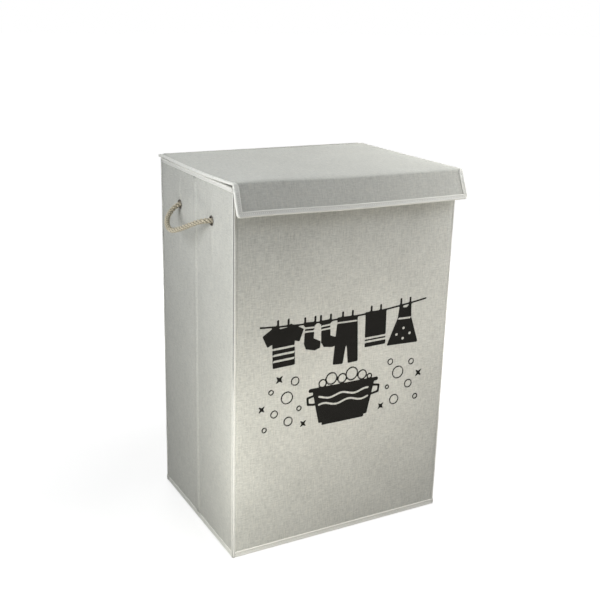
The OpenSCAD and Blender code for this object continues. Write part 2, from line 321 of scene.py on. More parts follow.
class Nodes:
    """A material's node tree, with short calls for the nodes that the finishes use."""

    def __init__(self, name: str) -> None:
        """Makes an empty material with a Principled shader.

        Args:
            name: the material's name.
        """
        self.material = bpy.data.materials.new(name)
        self.material.use_nodes = True
        self.tree = self.material.node_tree
        self.shader = self.tree.nodes["Principled BSDF"]

    def add(self, kind: str, inputs: dict | None = None, **settings: object) -> bpy.types.Node:
        """Adds a node to the material, as add_node does."""
        return add_node(self.tree, kind, inputs, **settings)

    def maths(self, operation: str, a: object, b: object = 0.0) -> bpy.types.NodeSocket:
        """One Math node's result."""
        return self.add("Math", {0: a, 1: b}, operation=operation).outputs[0]

    def plus(self, a: object, b: object) -> bpy.types.NodeSocket:
        """The sum of two values."""
        return self.maths("ADD", a, b)

    def minus(self, a: object, b: object) -> bpy.types.NodeSocket:
        """One value less another."""
        return self.maths("SUBTRACT", a, b)

    def times(self, a: object, b: object) -> bpy.types.NodeSocket:
        """The product of two values."""
        return self.maths("MULTIPLY", a, b)

    def magnitude(self, a: object) -> bpy.types.NodeSocket:
        """A value without its sign."""
        return self.maths("ABSOLUTE", a)

    def ramp(self, value: object, low: float, high: float, to_low: float = 0.0,
             to_high: float = 1.0) -> bpy.types.NodeSocket:
        """Value mapped from one range to another and held there."""
        return self.add("MapRange", {0: value, 1: low, 2: high, 3: to_low, 4: to_high}).outputs[0]

    def grey(self, value: object) -> bpy.types.NodeSocket:
        """A value as a grey colour."""
        return self.add("CombineColor", {0: value, 1: value, 2: value}).outputs[0]

    def blend(self, factor: object, a: object, b: object, mode: str = "MIX") -> bpy.types.NodeSocket:
        """Two colours mixed by a factor.

        Args:
            factor: the second colour's share.
            a: the first colour.
            b: the second.
            mode: how they are mixed.

        Returns:
            The mixed colour.
        """
        return self.add("Mix", {0: factor, 6: a, 7: b}, data_type="RGBA", blend_type=mode).outputs[2]

    def noise(self, vector: object, scale: float, detail: float = 2.0,
              rough: float = 0.5) -> bpy.types.NodeSocket:
        """A noise texture's value."""
        return self.add("TexNoise", {"Vector": vector, "Scale": scale, "Detail": detail,
                                     "Roughness": rough}).outputs[0]

    def stretch(self, vector: object, scale: Point) -> bpy.types.NodeSocket:
        """A vector with each of its numbers scaled."""
        return self.add("Mapping", {"Vector": vector, "Scale": scale}).outputs[0]

    def surface(self, colour: object, height: object, depth: float, strength: float) -> None:
        """Joins a colour and a bump height to the shader.

        Args:
            colour: the surface's colour.
            height: the bump's height, from 0 to 1.
            depth: how deep the bump is, in metres.
            strength: how strongly it shades.
        """
        self.tree.links.new(colour, self.shader.inputs["Base Color"])
        bump = self.add("Bump", {"Height": height, "Distance": depth, "Strength": strength})
        self.tree.links.new(bump.outputs[0], self.shader.inputs["Normal"])

    def fixed(self, values: dict[str, float]) -> bpy.types.Material:
        """Sets values that are the same all over the surface.

        Args:
            values: the shader's socket names and their values.

        Returns:
            The material.
        """
        for name, value in values.items():
            self.shader.inputs[name].default_value = value
        return self.material


def rgba(colour: Point) -> tuple[float, float, float, float]:
    """A colour with full opacity."""
    return (*colour, 1.0)


@dataclass(frozen=True)
class Weave:
    """Plain woven cloth: crossing threads with slubs, soft blotches and a dull surface."""

    name: str
    colour: Point
    pitch: float = 0.0009
    slub: float = 0.5
    blotch: float = 0.05
    sheen: float = 0.15
    gloss: float = 0.22
    ink: bool = False
    seams: bool = False
    ink_colour: Point = (0.0050, 0.0046, 0.0036)

    def material(self) -> bpy.types.Material:
        """Builds the cloth's material on its pieces' own UV maps, which are in metres.

        Returns:
            The material.
        """
        n = Nodes(self.name)
        uv = n.add("UVMap").outputs[0]
        split = n.add("SeparateXYZ", {0: uv})
        u, v = split.outputs[0], split.outputs[1]
        wob = n.times(n.minus(n.noise(uv, 60.0), 0.5), 0.0010)
        across = n.maths("DIVIDE", n.plus(u, wob), self.pitch)
        along = n.maths("DIVIDE", n.plus(v, wob), self.pitch)
        warp = n.magnitude(n.maths("SINE", n.times(across, math.pi)))
        weft = n.magnitude(n.maths("SINE", n.times(along, math.pi)))
        turn = n.maths("MODULO", n.plus(n.maths("FLOOR", across), n.maths("FLOOR", along)), 2.0)
        over = n.magnitude(turn)
        threads = n.plus(n.times(warp, over), n.times(weft, n.minus(1.0, over)))
        slub_u = n.noise(n.stretch(uv, (95.0, 520.0, 1.0)), 1.0, 3.0)
        slub_v = n.noise(n.stretch(uv, (520.0, 70.0, 1.0)), 1.0, 3.0)
        slubs = n.times(n.plus(slub_u, slub_v), 0.5)
        cloud = n.noise(uv, 14.0, 4.0, 0.6)
        fleck = n.noise(uv, 420.0, 2.0, 0.6)
        shade = n.plus(n.ramp(slubs, 0.3, 0.7, 1 - 0.26 * self.slub, 1 + 0.26 * self.slub),
                        n.ramp(cloud, 0.25, 0.75, -self.blotch, self.blotch))
        shade = n.plus(shade, n.ramp(threads, 0.0, 1.0, -0.04, 0.02))
        shade = n.plus(shade, n.ramp(fleck, 0.3, 0.7, -0.07, 0.07))
        colour = n.blend(1.0, rgba(self.colour), n.grey(shade), "MULTIPLY")
        warm = (self.colour[0] * 1.05, self.colour[1] * 0.99, self.colour[2] * 0.90)
        colour = n.blend(n.ramp(slub_v, 0.52, 0.75, 0.0, 0.35), colour, rgba(warm))
        height = n.plus(n.times(threads, 0.55), n.times(slubs, 0.45))
        if self.seams:
            colour, height = self.stitched(n, u, v, colour, height)
        if self.ink:
            colour = self.printed(n, colour, threads, slubs)
        n.surface(colour, height, 0.0003, 0.4)
        return n.fixed({"Roughness": 0.92, "Specular IOR Level": self.gloss, "Sheen Weight": self.sheen,
                        "Sheen Roughness": 0.45})

    def shaded_colour(self, share: float) -> tuple[float, float, float, float]:
        """The cloth's colour with each part times share, used as painted shade."""
        return rgba(tuple(c * share for c in self.colour))

    def stitched(self, n: Nodes, u: object, v: object, colour: object,
                 height: object) -> tuple[bpy.types.NodeSocket, bpy.types.NodeSocket]:
        """Adds a row of stitches along the middle of a tape, and paints shade into its grooves and into the
        valley along its middle.

        Args:
            n: the material's nodes.
            u: distance along the tape.
            v: share of the way across the tape, or below nothing in a groove.
            colour: the cloth's colour so far.
            height: the cloth's bump height so far.

        Returns:
            The colour and the height with the stitches in them.
        """
        # Painted shade: where v is below nothing, in a groove, the colour is darkened.
        colour = n.blend(n.ramp(v, -0.85, -0.2, 0.95, 0.0), colour, self.shaded_colour(0.25))
        middle = n.magnitude(n.minus(v, 0.5))
        row = n.ramp(middle, 0.04, 0.09, 1.0, 0.0)
        # Painted shade: the valley between the tape's two rolls is darkened towards its middle.
        colour = n.blend(n.ramp(middle, 0.10, 0.36, 0.34, 0.0), colour, self.shaded_colour(0.55))
        beat = n.magnitude(n.minus(n.maths("FRACT", n.maths("DIVIDE", u, 0.0031)), 0.5))
        thread = n.times(row, n.ramp(beat, 0.34, 0.40, 1.0, 0.0))
        pull = n.times(row, n.ramp(beat, 0.34, 0.44, 0.0, 1.0))
        # Painted shade in the dimples where the stitches pull the cloth in.
        dimple_shade = (self.colour[0] * 0.55, self.colour[1] * 0.54, self.colour[2] * 0.50)
        light = tuple(min(1.0, c * 1.12) for c in self.colour)
        colour = n.blend(n.times(pull, 0.55), colour, rgba(dimple_shade))
        colour = n.blend(n.times(thread, 0.75), colour, rgba(light))
        height = n.plus(height, n.minus(n.times(thread, 0.8), n.times(pull, 1.2)))
        return colour, height

    def printed(self, n: Nodes, colour: object, threads: object, slubs: object) -> bpy.types.NodeSocket:
        """Lays ink on the cloth where the stored distance to the design is below nothing.

        Args:
            n: the material's nodes.
            colour: the cloth's colour.
            threads: the height of its threads, where ink takes less between them.
            slubs: its slubs.

        Returns:
            The colour with the print on it.
        """
        reach = n.add("Attribute", attribute_name="ink_distance").outputs["Fac"]
        ragged = n.times(n.minus(slubs, 0.5), 0.0007)
        edge = n.ramp(n.plus(reach, ragged), -0.00025, 0.00025, 1.0, 0.0)
        cover = n.times(edge, n.ramp(threads, 0.0, 0.5, 0.95, 1.0))
        return n.blend(cover, colour, rgba(self.ink_colour))


@dataclass(frozen=True)
class Card:
    """Plain grey-brown card with its fibres."""

    name: str = "card"
    colour: Point = (0.50, 0.37, 0.22)

    def material(self) -> bpy.types.Material:
        """Builds the card's material.

        Returns:
            The material.
        """
        n = Nodes(self.name)
        where = n.add("TexCoord").outputs["Object"]
        fibre = n.noise(n.stretch(where, (900.0, 90.0, 90.0)), 1.0, 4.0, 0.65)
        pulp = n.noise(where, 180.0, 3.0)
        shade = n.plus(n.ramp(fibre, 0.3, 0.7, 0.86, 1.1), n.ramp(pulp, 0.3, 0.7, -0.05, 0.05))
        n.surface(n.blend(1.0, rgba(self.colour), n.grey(shade), "MULTIPLY"), fibre, 0.0002, 0.4)
        return n.fixed({"Roughness": 0.88, "Specular IOR Level": 0.3})


@dataclass(frozen=True)
class Twine:
    """Natural fibre in a twisted rope, on a UV map that runs along and round each strand, with painted shade
    where the strands meet.
    """

    name: str = "rope"
    colour: Point = (0.492, 0.444, 0.340)

    def material(self) -> bpy.types.Material:
        """Builds the rope's material.

        Returns:
            The material.
        """
        n = Nodes(self.name)
        uv = n.add("UVMap").outputs[0]
        split = n.add("SeparateXYZ", {0: uv})
        twist = n.plus(n.times(split.outputs[0], 2300.0), n.times(split.outputs[1], 6 * math.pi))
        yarn = n.magnitude(n.maths("SINE", n.times(twist, 0.5)))
        strand = n.magnitude(n.maths("COSINE", n.times(split.outputs[1], 3 * math.pi)))
        fibre = n.noise(n.stretch(uv, (240.0, 30.0, 1.0)), 1.0, 4.0, 0.7)
        blot = n.noise(uv, 60.0, 2.0)
        shade = n.plus(n.ramp(yarn, 0.0, 0.6, 0.66, 1.05), n.ramp(fibre, 0.25, 0.75, -0.2, 0.2))
        shade = n.plus(shade, n.ramp(blot, 0.3, 0.7, -0.08, 0.08))
        # Painted shade: darker in the grooves where the three strands meet.
        shade = n.times(shade, n.ramp(strand, 0.05, 0.75, 0.42, 1.05))
        height = n.plus(n.times(yarn, 0.7), n.times(fibre, 0.5))
        n.surface(n.blend(1.0, rgba(self.colour), n.grey(shade), "MULTIPLY"), height, 0.0005, 0.8)
        return n.fixed({"Roughness": 0.9, "Specular IOR Level": 0.25, "Sheen Weight": 0.2})


@dataclass(frozen=True)
class PressedMetal:
    """Dark plated sheet metal, rubbed paler here and there."""

    name: str = "eyelet_metal"
    colour: Point = (0.12, 0.11, 0.095)

    def material(self) -> bpy.types.Material:
        """Builds the eyelets' material.

        Returns:
            The material.
        """
        n = Nodes(self.name)
        where = n.add("TexCoord").outputs["Object"]
        rub = n.noise(where, 420.0, 3.0, 0.6)
        pale = tuple(c * 1.9 for c in self.colour)
        colour = n.blend(n.ramp(rub, 0.5, 0.8, 0.0, 0.6), rgba(self.colour), rgba(pale))
        n.surface(colour, n.noise(where, 1500.0, 2.0), 0.00005, 0.25)
        n.tree.links.new(n.ramp(rub, 0.3, 0.7, 0.30, 0.48), n.shader.inputs["Roughness"])
        return n.fixed({"Metallic": 0.9})


LINEN = Weave("body_fabric", (0.515, 0.518, 0.480), slub=0.6)
PRINTED = Weave("front_fabric", (0.523, 0.526, 0.488), slub=0.85, blotch=0.07, sheen=0.06, gloss=0.10,
                ink=True)
LINING = Weave("lining_fabric", (0.66, 0.645, 0.60), pitch=0.0006, slub=0.25, blotch=0.03, sheen=0.1)
TAPE = Weave("binding_tape", (0.775, 0.775, 0.73), pitch=0.0007, slub=0.2, blotch=0.025, seams=True)
SEAM = Weave("seam_tape", (0.70, 0.70, 0.66), pitch=0.0007, slub=0.2, blotch=0.025, seams=True)
CARD = Card()
ROPE = Twine()
METAL = PressedMetal()

Finish = Weave | Card | Twine | PressedMetal


@dataclass
class Finishes:
    """The materials, each made once and shared by its pieces."""

    made: dict[str, bpy.types.Material] = field(default_factory=dict)

    def of(self, finish: Finish) -> bpy.types.Material:
        """The material of a finish.

        Args:
            finish: one of the finishes above.

        Returns:
            Its material, made on the first call.
        """
        if finish.name not in self.made:
            self.made[finish.name] = finish.material()
        return self.made[finish.name]


FINISHES = Finishes()


# ---------------------------------------------------------------- making meshes

Place = Callable[[float, float], Vector]


def link(name: str, data: bpy.types.ID) -> bpy.types.Object:
    """Puts a new object into the scene.

    Args:
        name: the object's name.
        data: its mesh, lamp or camera.

    Returns:
        The object.
    """
    obj = bpy.data.objects.new(name, data)
    bpy.context.scene.collection.objects.link(obj)
    return obj


def uneven(plane: Plane, seed: float) -> Place:
    """A lining's place on a face, a little sunk in and very slightly uneven.

    Args:
        plane: the face.
        seed: moves the pattern.

    Returns:
        What gives the point for each pair of distances on the face.
    """
    return lambda u, v: plane.at(u, v, -0.0002 + 0.00015 * crumple(Vector((u, v, 0)), 9.0, seed))


def join_up(bm: bmesh.types.BMesh) -> None:
    """Merges the points of a mesh that lie on each other."""
    bmesh.ops.remove_doubles(bm, verts=bm.verts, dist=1e-6)


def to_object(name: str, bm: bmesh.types.BMesh, finish: Finish) -> bpy.types.Object:
    """Turns a mesh being built into a smooth piece with its finish.

    Args:
        name: the piece's name.
        bm: the mesh, which is used up.
        finish: the piece's finish.

    Returns:
        The piece.
    """
    mesh = bpy.data.meshes.new(name)
    bm.to_mesh(mesh)
    bm.free()
    mesh.shade_smooth()
    obj = link(name, mesh)
    mesh.materials.append(FINISHES.of(finish))
    return obj


def woven(name: str, across: Sequence[float], along: Sequence[float], place: Place, finish: Finish,
          uv: Callable[[float, float], Pair] | None = None, closed: bool = False, capped: bool = False,
          flip: bool = False) -> bpy.types.Object:
    """A grid of cloth laid onto a shape.

    Args:
        name: the piece's name.
        across: the values of the first number, one for each column.
        along: the values of the second, one for each row.
        place: gives the point for each pair of values.
        finish: the piece's finish.
        uv: gives the UV place for each pair; the pair itself if left out.
        closed: joins the first column to the last, as on a tube.
        capped: closes the two ends of a tube.
        flip: turns the faces round.

    Returns:
        The piece.
    """
    bm = bmesh.new()
    nx, ny = len(across) - 1, len(along) - 1
    bmesh.ops.create_grid(bm, x_segments=nx, y_segments=ny, size=0.5)
    layer = bm.loops.layers.uv.new("UVMap")
    spot = {v: (across[round((v.co.x + 0.5) * nx)], along[round((v.co.y + 0.5) * ny)]) for v in bm.verts}
    for face in bm.faces:
        for loop in face.loops:
            loop[layer].uv = uv(*spot[loop.vert]) if uv else spot[loop.vert]
    for v, (a, b) in spot.items():
        v.co = place(a, b)
    if closed:
        join_up(bm)
    if capped:
        rim = [e for e in bm.edges if e.is_boundary]
        bmesh.ops.holes_fill(bm, edges=rim, sides=0)
    if flip:
        bmesh.ops.reverse_faces(bm, faces=bm.faces)
    return to_object(name, bm, finish)


def merge(obj: bpy.types.Object) -> None:
    """Joins a laid cloth at its corners, where the turned edges meet.

    Args:
        obj: the cloth.
    """
    bm = bmesh.new()
    bm.from_mesh(obj.data)
    join_up(bm)
    bm.to_mesh(obj.data)
    bm.free()


def thicken(obj: bpy.types.Object, thickness: float) -> bpy.types.Object:
    """Gives a piece of cloth its thickness, under the face that it was laid with.

    Args:
        obj: the cloth.
        thickness: its thickness.

    Returns:
        The same piece.
    """
    solid = obj.modifiers.new("thickness", "SOLIDIFY")
    solid.thickness = thickness
    solid.offset = -1
    solid.use_even_offset = False
    return obj


def punch(obj: bpy.types.Object, centre: Vector, radius: float) -> None:
    """Cuts a round hole in a sheet.

    Args:
        obj: the sheet.
        centre: the hole's centre, on the sheet.
        radius: the hole's radius.
    """
    bm = bmesh.new()
    bm.from_mesh(obj.data)
    gone = [f for f in bm.faces if (f.calc_center_median() - centre).length < radius]
    bmesh.ops.delete(bm, geom=gone, context="FACES")
    for v in bm.verts:
        away = v.co - centre
        if v.is_boundary and away.length < 3 * radius:
            v.co = centre + away.normalized() * radius
    bm.to_mesh(obj.data)
    bm.free()


def wear(obj: bpy.types.Object, slot: Slot, nodes: Sequence[str], *bodies: Body,
         start: Point | None = None, end: Point | None = None) -> bpy.types.Object:
    """Hides the solids that a piece stands for, and attaches the piece to its body; a piece between two
    bodies only has its place baked into its mesh.

    Args:
        obj: the piece.
        slot: the material slot in the record; not used.
        nodes: the solids that it stands for.
        bodies: one body to ride on, or two, in which case it rides on neither.
        start: a point on the first of two bodies, only turned into a tuple.
        end: a point on the second, only turned into a tuple.

    Returns:
        The piece.
    """
    if nodes:
        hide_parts(*nodes)
    if len(bodies) == 2:
        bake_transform(obj)
        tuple(start)
        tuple(end)
    else:
        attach(obj, bodies[0].value)
    LOG.info("%s made, %d faces", obj.name, len(obj.data.polygons))
    return obj


# ---------------------------------------------------------------- lines across and along a strip


class Profile:
    """The line that a strip has across it, in two numbers: away from its edge or face, and out of it."""

    def __init__(self, corners: Sequence[Pair], radius: float, step: float) -> None:
        """Rounds the corners of a line and cuts it into even steps.

        Args:
            corners: the line's corners, in order.
            radius: how far from each corner its rounding starts.
            step: the length of one step.
        """
        line = [Vector((*corners[0], 0))]
        for before, here, after in zip(corners, corners[1:], corners[2:]):
            a, b, c = (Vector((*p, 0)) for p in (before, here, after))
            start = b + (a - b).normalized() * min(radius, (a - b).length / 2)
            end = b + (c - b).normalized() * min(radius, (c - b).length / 2)
            for k in range(5):
                t = k / 4
                line.append((1 - t) ** 2 * start + 2 * t * (1 - t) * b + t * t * end)
        line.append(Vector((*corners[-1], 0)))
        points = even(line, step)
        total = sum((b - a).length for a, b in zip(points, points[1:]))
        self.lengths = steps(-total / 2, total / 2, len(points) - 1)
        self.points = dict(zip(self.lengths, points))

    def at(self, s: float) -> Vector:
        """The point at one of the line's own lengths, which are counted from its middle."""
        return self.points[s]


def tape_profile(outer: float, inner: float, wall: float, proud: float) -> Profile:
    """The line of a tape folded over an edge.

    Args:
        outer: how far the outer leg reaches in from the edge.
        inner: how far the inner leg does.
        wall: the thickness that it is folded over.
        proud: how far its outer surface stands off the wall.

    Returns:
        The line, from one leg's end over the edge to the other's.
    """
    return Profile([(outer, proud * 0.3), (outer - 0.0009, proud), (-proud, proud), (-proud, -wall - proud),
                    (inner, -wall - proud)], 0.0016, 0.0007)


def pad(depth: float, leg: float) -> float:
    """How far a tape's leg swells, in two rolls with the stitches' valley between them.

    Args:
        depth: the distance in from the edge.
        leg: the leg's own reach.

    Returns:
        The swelling.
    """
    return 0.0006 * (hump(depth, leg * 0.14, leg * 0.36) + 0.8 * hump(depth, leg * 0.84, leg * 0.30))


# ---------------------------------------------------------------- walls


@dataclass(frozen=True)
class Eyelet:
    """A pressed metal ring through a side wall, rolled over on both faces."""

    name: str
    body: Body
    side: int
    y: float
    seat: float = 0.0002
    roll: float = 0.0011
    sizes: HamperSizes = SIZES

    @property
    def centre(self) -> Vector:
        """The middle of the bore, on the wall's outer face."""
        return Vector((self.side * self.sizes.half_w, self.y, self.sizes.eyelet_z))

    def build(self) -> bpy.types.Object:
        """Spins the ring's section round the bore.

        Returns:
            The ring.
        """
        s = self.sizes
        bore, lip = s.eyelet_bore, s.flange_r - s.eyelet_bore
        ring = []
        for face, way in ((0.0, 1.0), (-s.wall, -1.0)):
            for a in steps(0.0, math.pi, 10):
                ring.append((bore + lip / 2 - way * math.cos(a) * lip / 2,
                             face + way * (self.seat + self.roll * math.sin(a))))
        bm = bmesh.new()
        verts = [bm.verts.new((r, 0, n)) for r, n in self.ordered(ring)]
        edges = [bm.edges.new((a, b)) for a, b in zip(verts, verts[1:] + verts[:1])]
        bmesh.ops.spin(bm, geom=verts + edges, cent=(0, 0, 0), axis=(0, 0, 1), angle=math.tau, steps=56,
                       use_merge=True)
        bmesh.ops.recalc_face_normals(bm, faces=bm.faces)
        turn = Matrix.Rotation(self.side * math.pi / 2, 4, "Y")
        bmesh.ops.transform(bm, matrix=Matrix.Translation(self.centre) @ turn, verts=bm.verts)
        obj = to_object(self.name + "_ring", bm, METAL)
        return wear(obj, Slot.METAL, [self.name], self.body)

    @staticmethod
    def ordered(ring: list[Pair]) -> list[Pair]:
        """The section's points in order: over the outer lip, down the barrel and over the inner lip.

        Args:
            ring: the two lips' points, 11 each, the outer one's first.

        Returns:
            The points in order, with the barrel's between them.
        """
        outer, inner = ring[:11], ring[11:22]
        barrel = outer[0][0] + 0.0008
        return outer + [(barrel, -0.0004), (barrel, -SIZES.wall + 0.0004)] + inner


@dataclass
class WallPanel:
    """A stiff panel of card between a cloth cover and a lining.

    puff is how far the cover stands off the card, pull how far a fold under an eyelet does, and clear how
    far round an eyelet the cover lies flat.
    """

    name: str
    face: str
    body: Body
    low_u: float
    high_u: float
    crease_at: float | None = None
    eyelets: tuple[Eyelet, ...] = ()
    seed: float = 0.0
    finish: Weave = LINEN
    columns: tuple[float, ...] = ()
    rows: tuple[float, ...] = ()
    pitch: float = 0.009
    puff: float = 0.0006
    pull: float = 0.0016
    clear: float = 0.013
    sizes: HamperSizes = SIZES

    def spread(self, low: float, high: float, extra: Sequence[float]) -> list[float]:
        """Even steps between two numbers, with finer ones where the panel has some.

        Args:
            low: the first number.
            high: the last.
            extra: more values to put among them.

        Returns:
            The values in order.
        """
        base = steps(low, high, max(2, round((high - low) / self.pitch)))
        if extra:
            base = [b for b in base if not min(extra) - 1e-4 < b < max(extra) + 1e-4 or b in (low, high)]
        return sorted(set(base) | set(extra))

    def swell(self, u: float, v: float) -> float:
        """How far the cloth stands off the flat at a place on the panel.

        Args:
            u: how far along the panel.
            v: how far up it.

        Returns:
            The distance.
        """
        s = self.sizes
        inside = min(u - self.low_u, self.high_u - u, v, s.height - v)
        soft = smooth(inside / PADDED)
        p = Vector((u, v, 0))
        out = soft * (self.puff + 0.0005 * crumple(p, 7.0, self.seed) + 0.00016 * crumple(p, 26.0, self.seed))
        for ring in self.eyelets:
            y = self.u_of(ring)
            near = smooth(1 - abs(v - s.eyelet_z) / (0.15 if v < s.eyelet_z else 0.09))
            drift = 0.012 * crumple(Vector((y, v, 0)), 9.0, self.seed + 3)
            fold = hump(u + drift, y + 0.003, 0.009) - 0.6 * hump(u + drift, y + 0.012, 0.008)
            out += near * near * soft * self.pull * fold
            if (Vector((u, v)) - Vector((y, s.eyelet_z))).length < self.clear:
                out *= 0.1
        if self.crease_at is not None:
            out += self.puff * smooth(1 - abs(u - self.crease_at) / 0.006)
        top = smooth((v - 0.40) / 0.15)
        tug = Vector((u * 2.6, v * 0.5, 0))
        return max(0.0, out + soft * top * self.puff * crumple(tug, 14.0, self.seed + 9))

    def u_of(self, ring: Eyelet) -> float:
        """Where an eyelet is along this face's right direction."""
        return Vector(FACES[self.face].right).y * ring.y

    def cover(self) -> bpy.types.Object:
        """Lays the outer cloth, with its four edges turned in.

        Returns:
            The cover.
        """
        s = self.sizes
        low_v, high_v = s.tape, s.height - s.tape
        us = widened(self.spread(self.low_u, self.high_u, self.columns), TURN_IN)
        vs = widened(self.spread(low_v, high_v, self.rows), TURN_IN)
        plane = FACES[self.face]

        def place(u: float, v: float) -> Vector:
            """The cloth's own place, with what reaches past an edge turned in over it.

            Args:
                u: how far across.
                v: how far up.

            Returns:
                The point.
            """
            cu, cv = min(max(u, self.low_u), self.high_u), min(max(v, low_v), high_v)
            over = max(abs(u - cu), abs(v - cv))
            return plane.at(cu, cv, self.swell(cu, cv) if over == 0 else -over)

        obj = woven(self.name + "_cloth", us, vs, place, self.finish)
        merge(obj)
        for ring in self.eyelets:
            punch(obj, plane.at(self.u_of(ring), s.eyelet_z, 0), s.hole_r)
        thicken(obj, s.cloth)
        wear(obj, Slot.BODY, [self.name + "_cover"], self.body)
        return obj

    def lining(self) -> bpy.types.Object:
        """Lays the inner cloth.

        Returns:
            The lining.
        """
        s = self.sizes
        plane = FACES[self.face + "_in"]
        low, high = -self.high_u + s.cloth, -self.low_u - s.cloth
        us = self.spread(low, high, ())
        vs = self.spread(s.tape + s.cloth, s.height - s.tape - s.cloth, ())
        obj = woven(self.name + "_inner_cloth", us, vs, uneven(plane, self.seed + 20), LINING)
        for ring in self.eyelets:
            punch(obj, plane.at(-self.u_of(ring), s.eyelet_z, 0), s.hole_r)
        thicken(obj, s.cloth * 0.7)
        wear(obj, Slot.LINING, [self.name + "_lining"], self.body)
        return obj


@dataclass
class EdgeTape:
    """A woven tape folded over the rim or the foot of a wall and stitched through."""

    name: str
    face: str
    z_edge: float
    low_u: float
    high_u: float
    capped: bool = True
    sizes: HamperSizes = SIZES

    def build(self, nodes: Sequence[str], *bodies: Body, start: Point | None = None,
              end: Point | None = None) -> bpy.types.Object:
        """Folds the tape over its edge.

        Args:
            nodes: the solids that it stands for.
            bodies: the body that it moves with, or the two that it lies between.
            start: a point on the first of two bodies, passed on with them.
            end: a point on the second, passed on with them.

        Returns:
            The tape.
        """
        s = self.sizes
        plane = FACES[self.face]
        leg = s.leg_at(self.z_edge)
        line = tape_profile(leg, leg, s.wall, s.tape)
        inward = 1 if self.z_edge < s.mid else -1
        ends, closing = (0.0002, (0.0006, 0.0026)) if self.capped else (0.0, ())
        count = round((self.high_u - self.low_u) / TAPE_STEP)
        us = widened(steps(self.low_u - ends, self.high_u + ends, count), closing)

        def place(u: float, q: float) -> Vector:
            """The tape's own place, closed at its ends where it is capped.

            Args:
                u: how far along the tape.
                q: how far round its line.

            Returns:
                The point.
            """
            depth, out = line.at(q).x, line.at(q).y
            cu = min(max(u, self.low_u - ends), self.high_u + ends)
            over = abs(u - cu)
            mid = -s.wall / 2
            if out > mid:
                out += 0.00018 * crumple(Vector((u, q, self.z_edge)), 30.0, 4.0) * smooth(depth / 0.004)
                out += pad(depth, leg)
            shut = 1.0 if over > 0.002 else 0.35 * smooth(over / 0.0026)
            out, depth = out + (mid - out) * shut, max(depth, -s.tape * (1 - shut))
            return plane.at(cu, self.z_edge + inward * (depth + s.tape), out)

        obj = woven(self.name, us, line.lengths, place, TAPE, uv=lambda u, q: (u, line.at(q).x / leg),
                    flip=inward > 0)
        thicken(obj, s.tape * 0.85)
        return wear(obj, Slot.TAPE, nodes, *bodies, start=start, end=end)


# The lines across the upright seams and the crease's ridge: away from the corner or the crease, and out.
ROLLED_SEAM: tuple[Pair, ...] = (
    (-0.0046, 0.0003), (-0.0039, 0.0009), (-0.0028, 0.0011), (-0.0019, 0.0009), (-0.0014, -0.0008),
    (0.0004, -0.0008), (0.0010, 0.0013), (0.0024, 0.0013), (0.0048, 0.0002))
GROOVE: Pair = (-0.0017, 0.0008)
PLAIN_SEAM: tuple[Pair, ...] = (
    (-0.0066, 0.0005), (-0.0058, 0.0012), (-0.0010, 0.0012), (0.0006, 0.0006), (0.0018, 0.0003))
RIDGE: tuple[Pair, ...] = (
    (-0.0085, -0.0010), (-0.0038, 0.0008), (0, 0.0014), (0.0038, 0.0008), (0.0085, -0.0010))


@dataclass
class CornerTape:
    """The upright seam of a corner: two rolled edges side by side with a groove between."""

    name: str
    side: int
    front: int
    wide: bool
    sizes: HamperSizes = SIZES

    def build(self, nodes: Sequence[str], *bodies: Body) -> bpy.types.Object:
        """Folds the seam round its corner.

        Args:
            nodes: the solids that it stands for.
            bodies: the body that it moves with, or the two that it lies between.

        Returns:
            The seam.
        """
        s = self.sizes
        line = Profile(ROLLED_SEAM if self.wide else PLAIN_SEAM, 0.0005, 0.0003)
        vs = steps(0.0002, s.height - s.rim_leg - s.tape, 150)

        def place(q: float, v: float) -> Vector:
            """The seam's own place: along the side wall first, then along the front or back.

            Args:
                q: how far across the seam.
                v: its height.

            Returns:
                The point.
            """
            a, out = line.at(q).x, line.at(q).y
            wave = 0.0002 * crumple(Vector((v, q * 4, self.side + 2 * self.front)), 24.0, 6.0)
            wave += 0.0009 * smooth((s.band + 0.002 - v) / 0.002) - 0.0008 * smooth((0.0025 - v) / 0.002)
            if a < 0:
                x, y = s.half_w + out + wave, s.half_d + a + 0.0004
            else:
                x, y = s.half_w + 0.0006 + wave - a, s.half_d + out + wave
            return Vector((self.side * x, self.front * y, v))

        def uv(q: float, v: float) -> Pair:
            """The UV place, below nothing in the groove, where the seam's material paints shade, less of it
            towards the foot.

            Args:
                q: how far across the seam.
                v: its height.

            Returns:
                The UV place.
            """
            in_groove = self.wide and GROOVE[0] < line.at(q).x < GROOVE[1]
            # Below nothing asks for painted shade in the groove; less is painted low down the seam.
            return v, -(0.42 + 0.58 * smooth((v - 0.26) / 0.10)) if in_groove else 0.0

        obj = woven(self.name, line.lengths, vs, place, SEAM, uv=uv, flip=self.side * self.front < 0)
        thicken(obj, s.tape * 0.5)
        y = self.front * s.half_d
        if len(bodies) == 2:
            outer, inner = ((self.side * s.half_w, y - self.front * d, s.mid) for d in s.corner_soft)
            start, end = (inner, outer) if bodies[1] is Body.FRONT else (outer, inner)
            return wear(obj, Slot.TAPE, nodes, *bodies, start=start, end=end)
        return wear(obj, Slot.TAPE, nodes, *bodies)


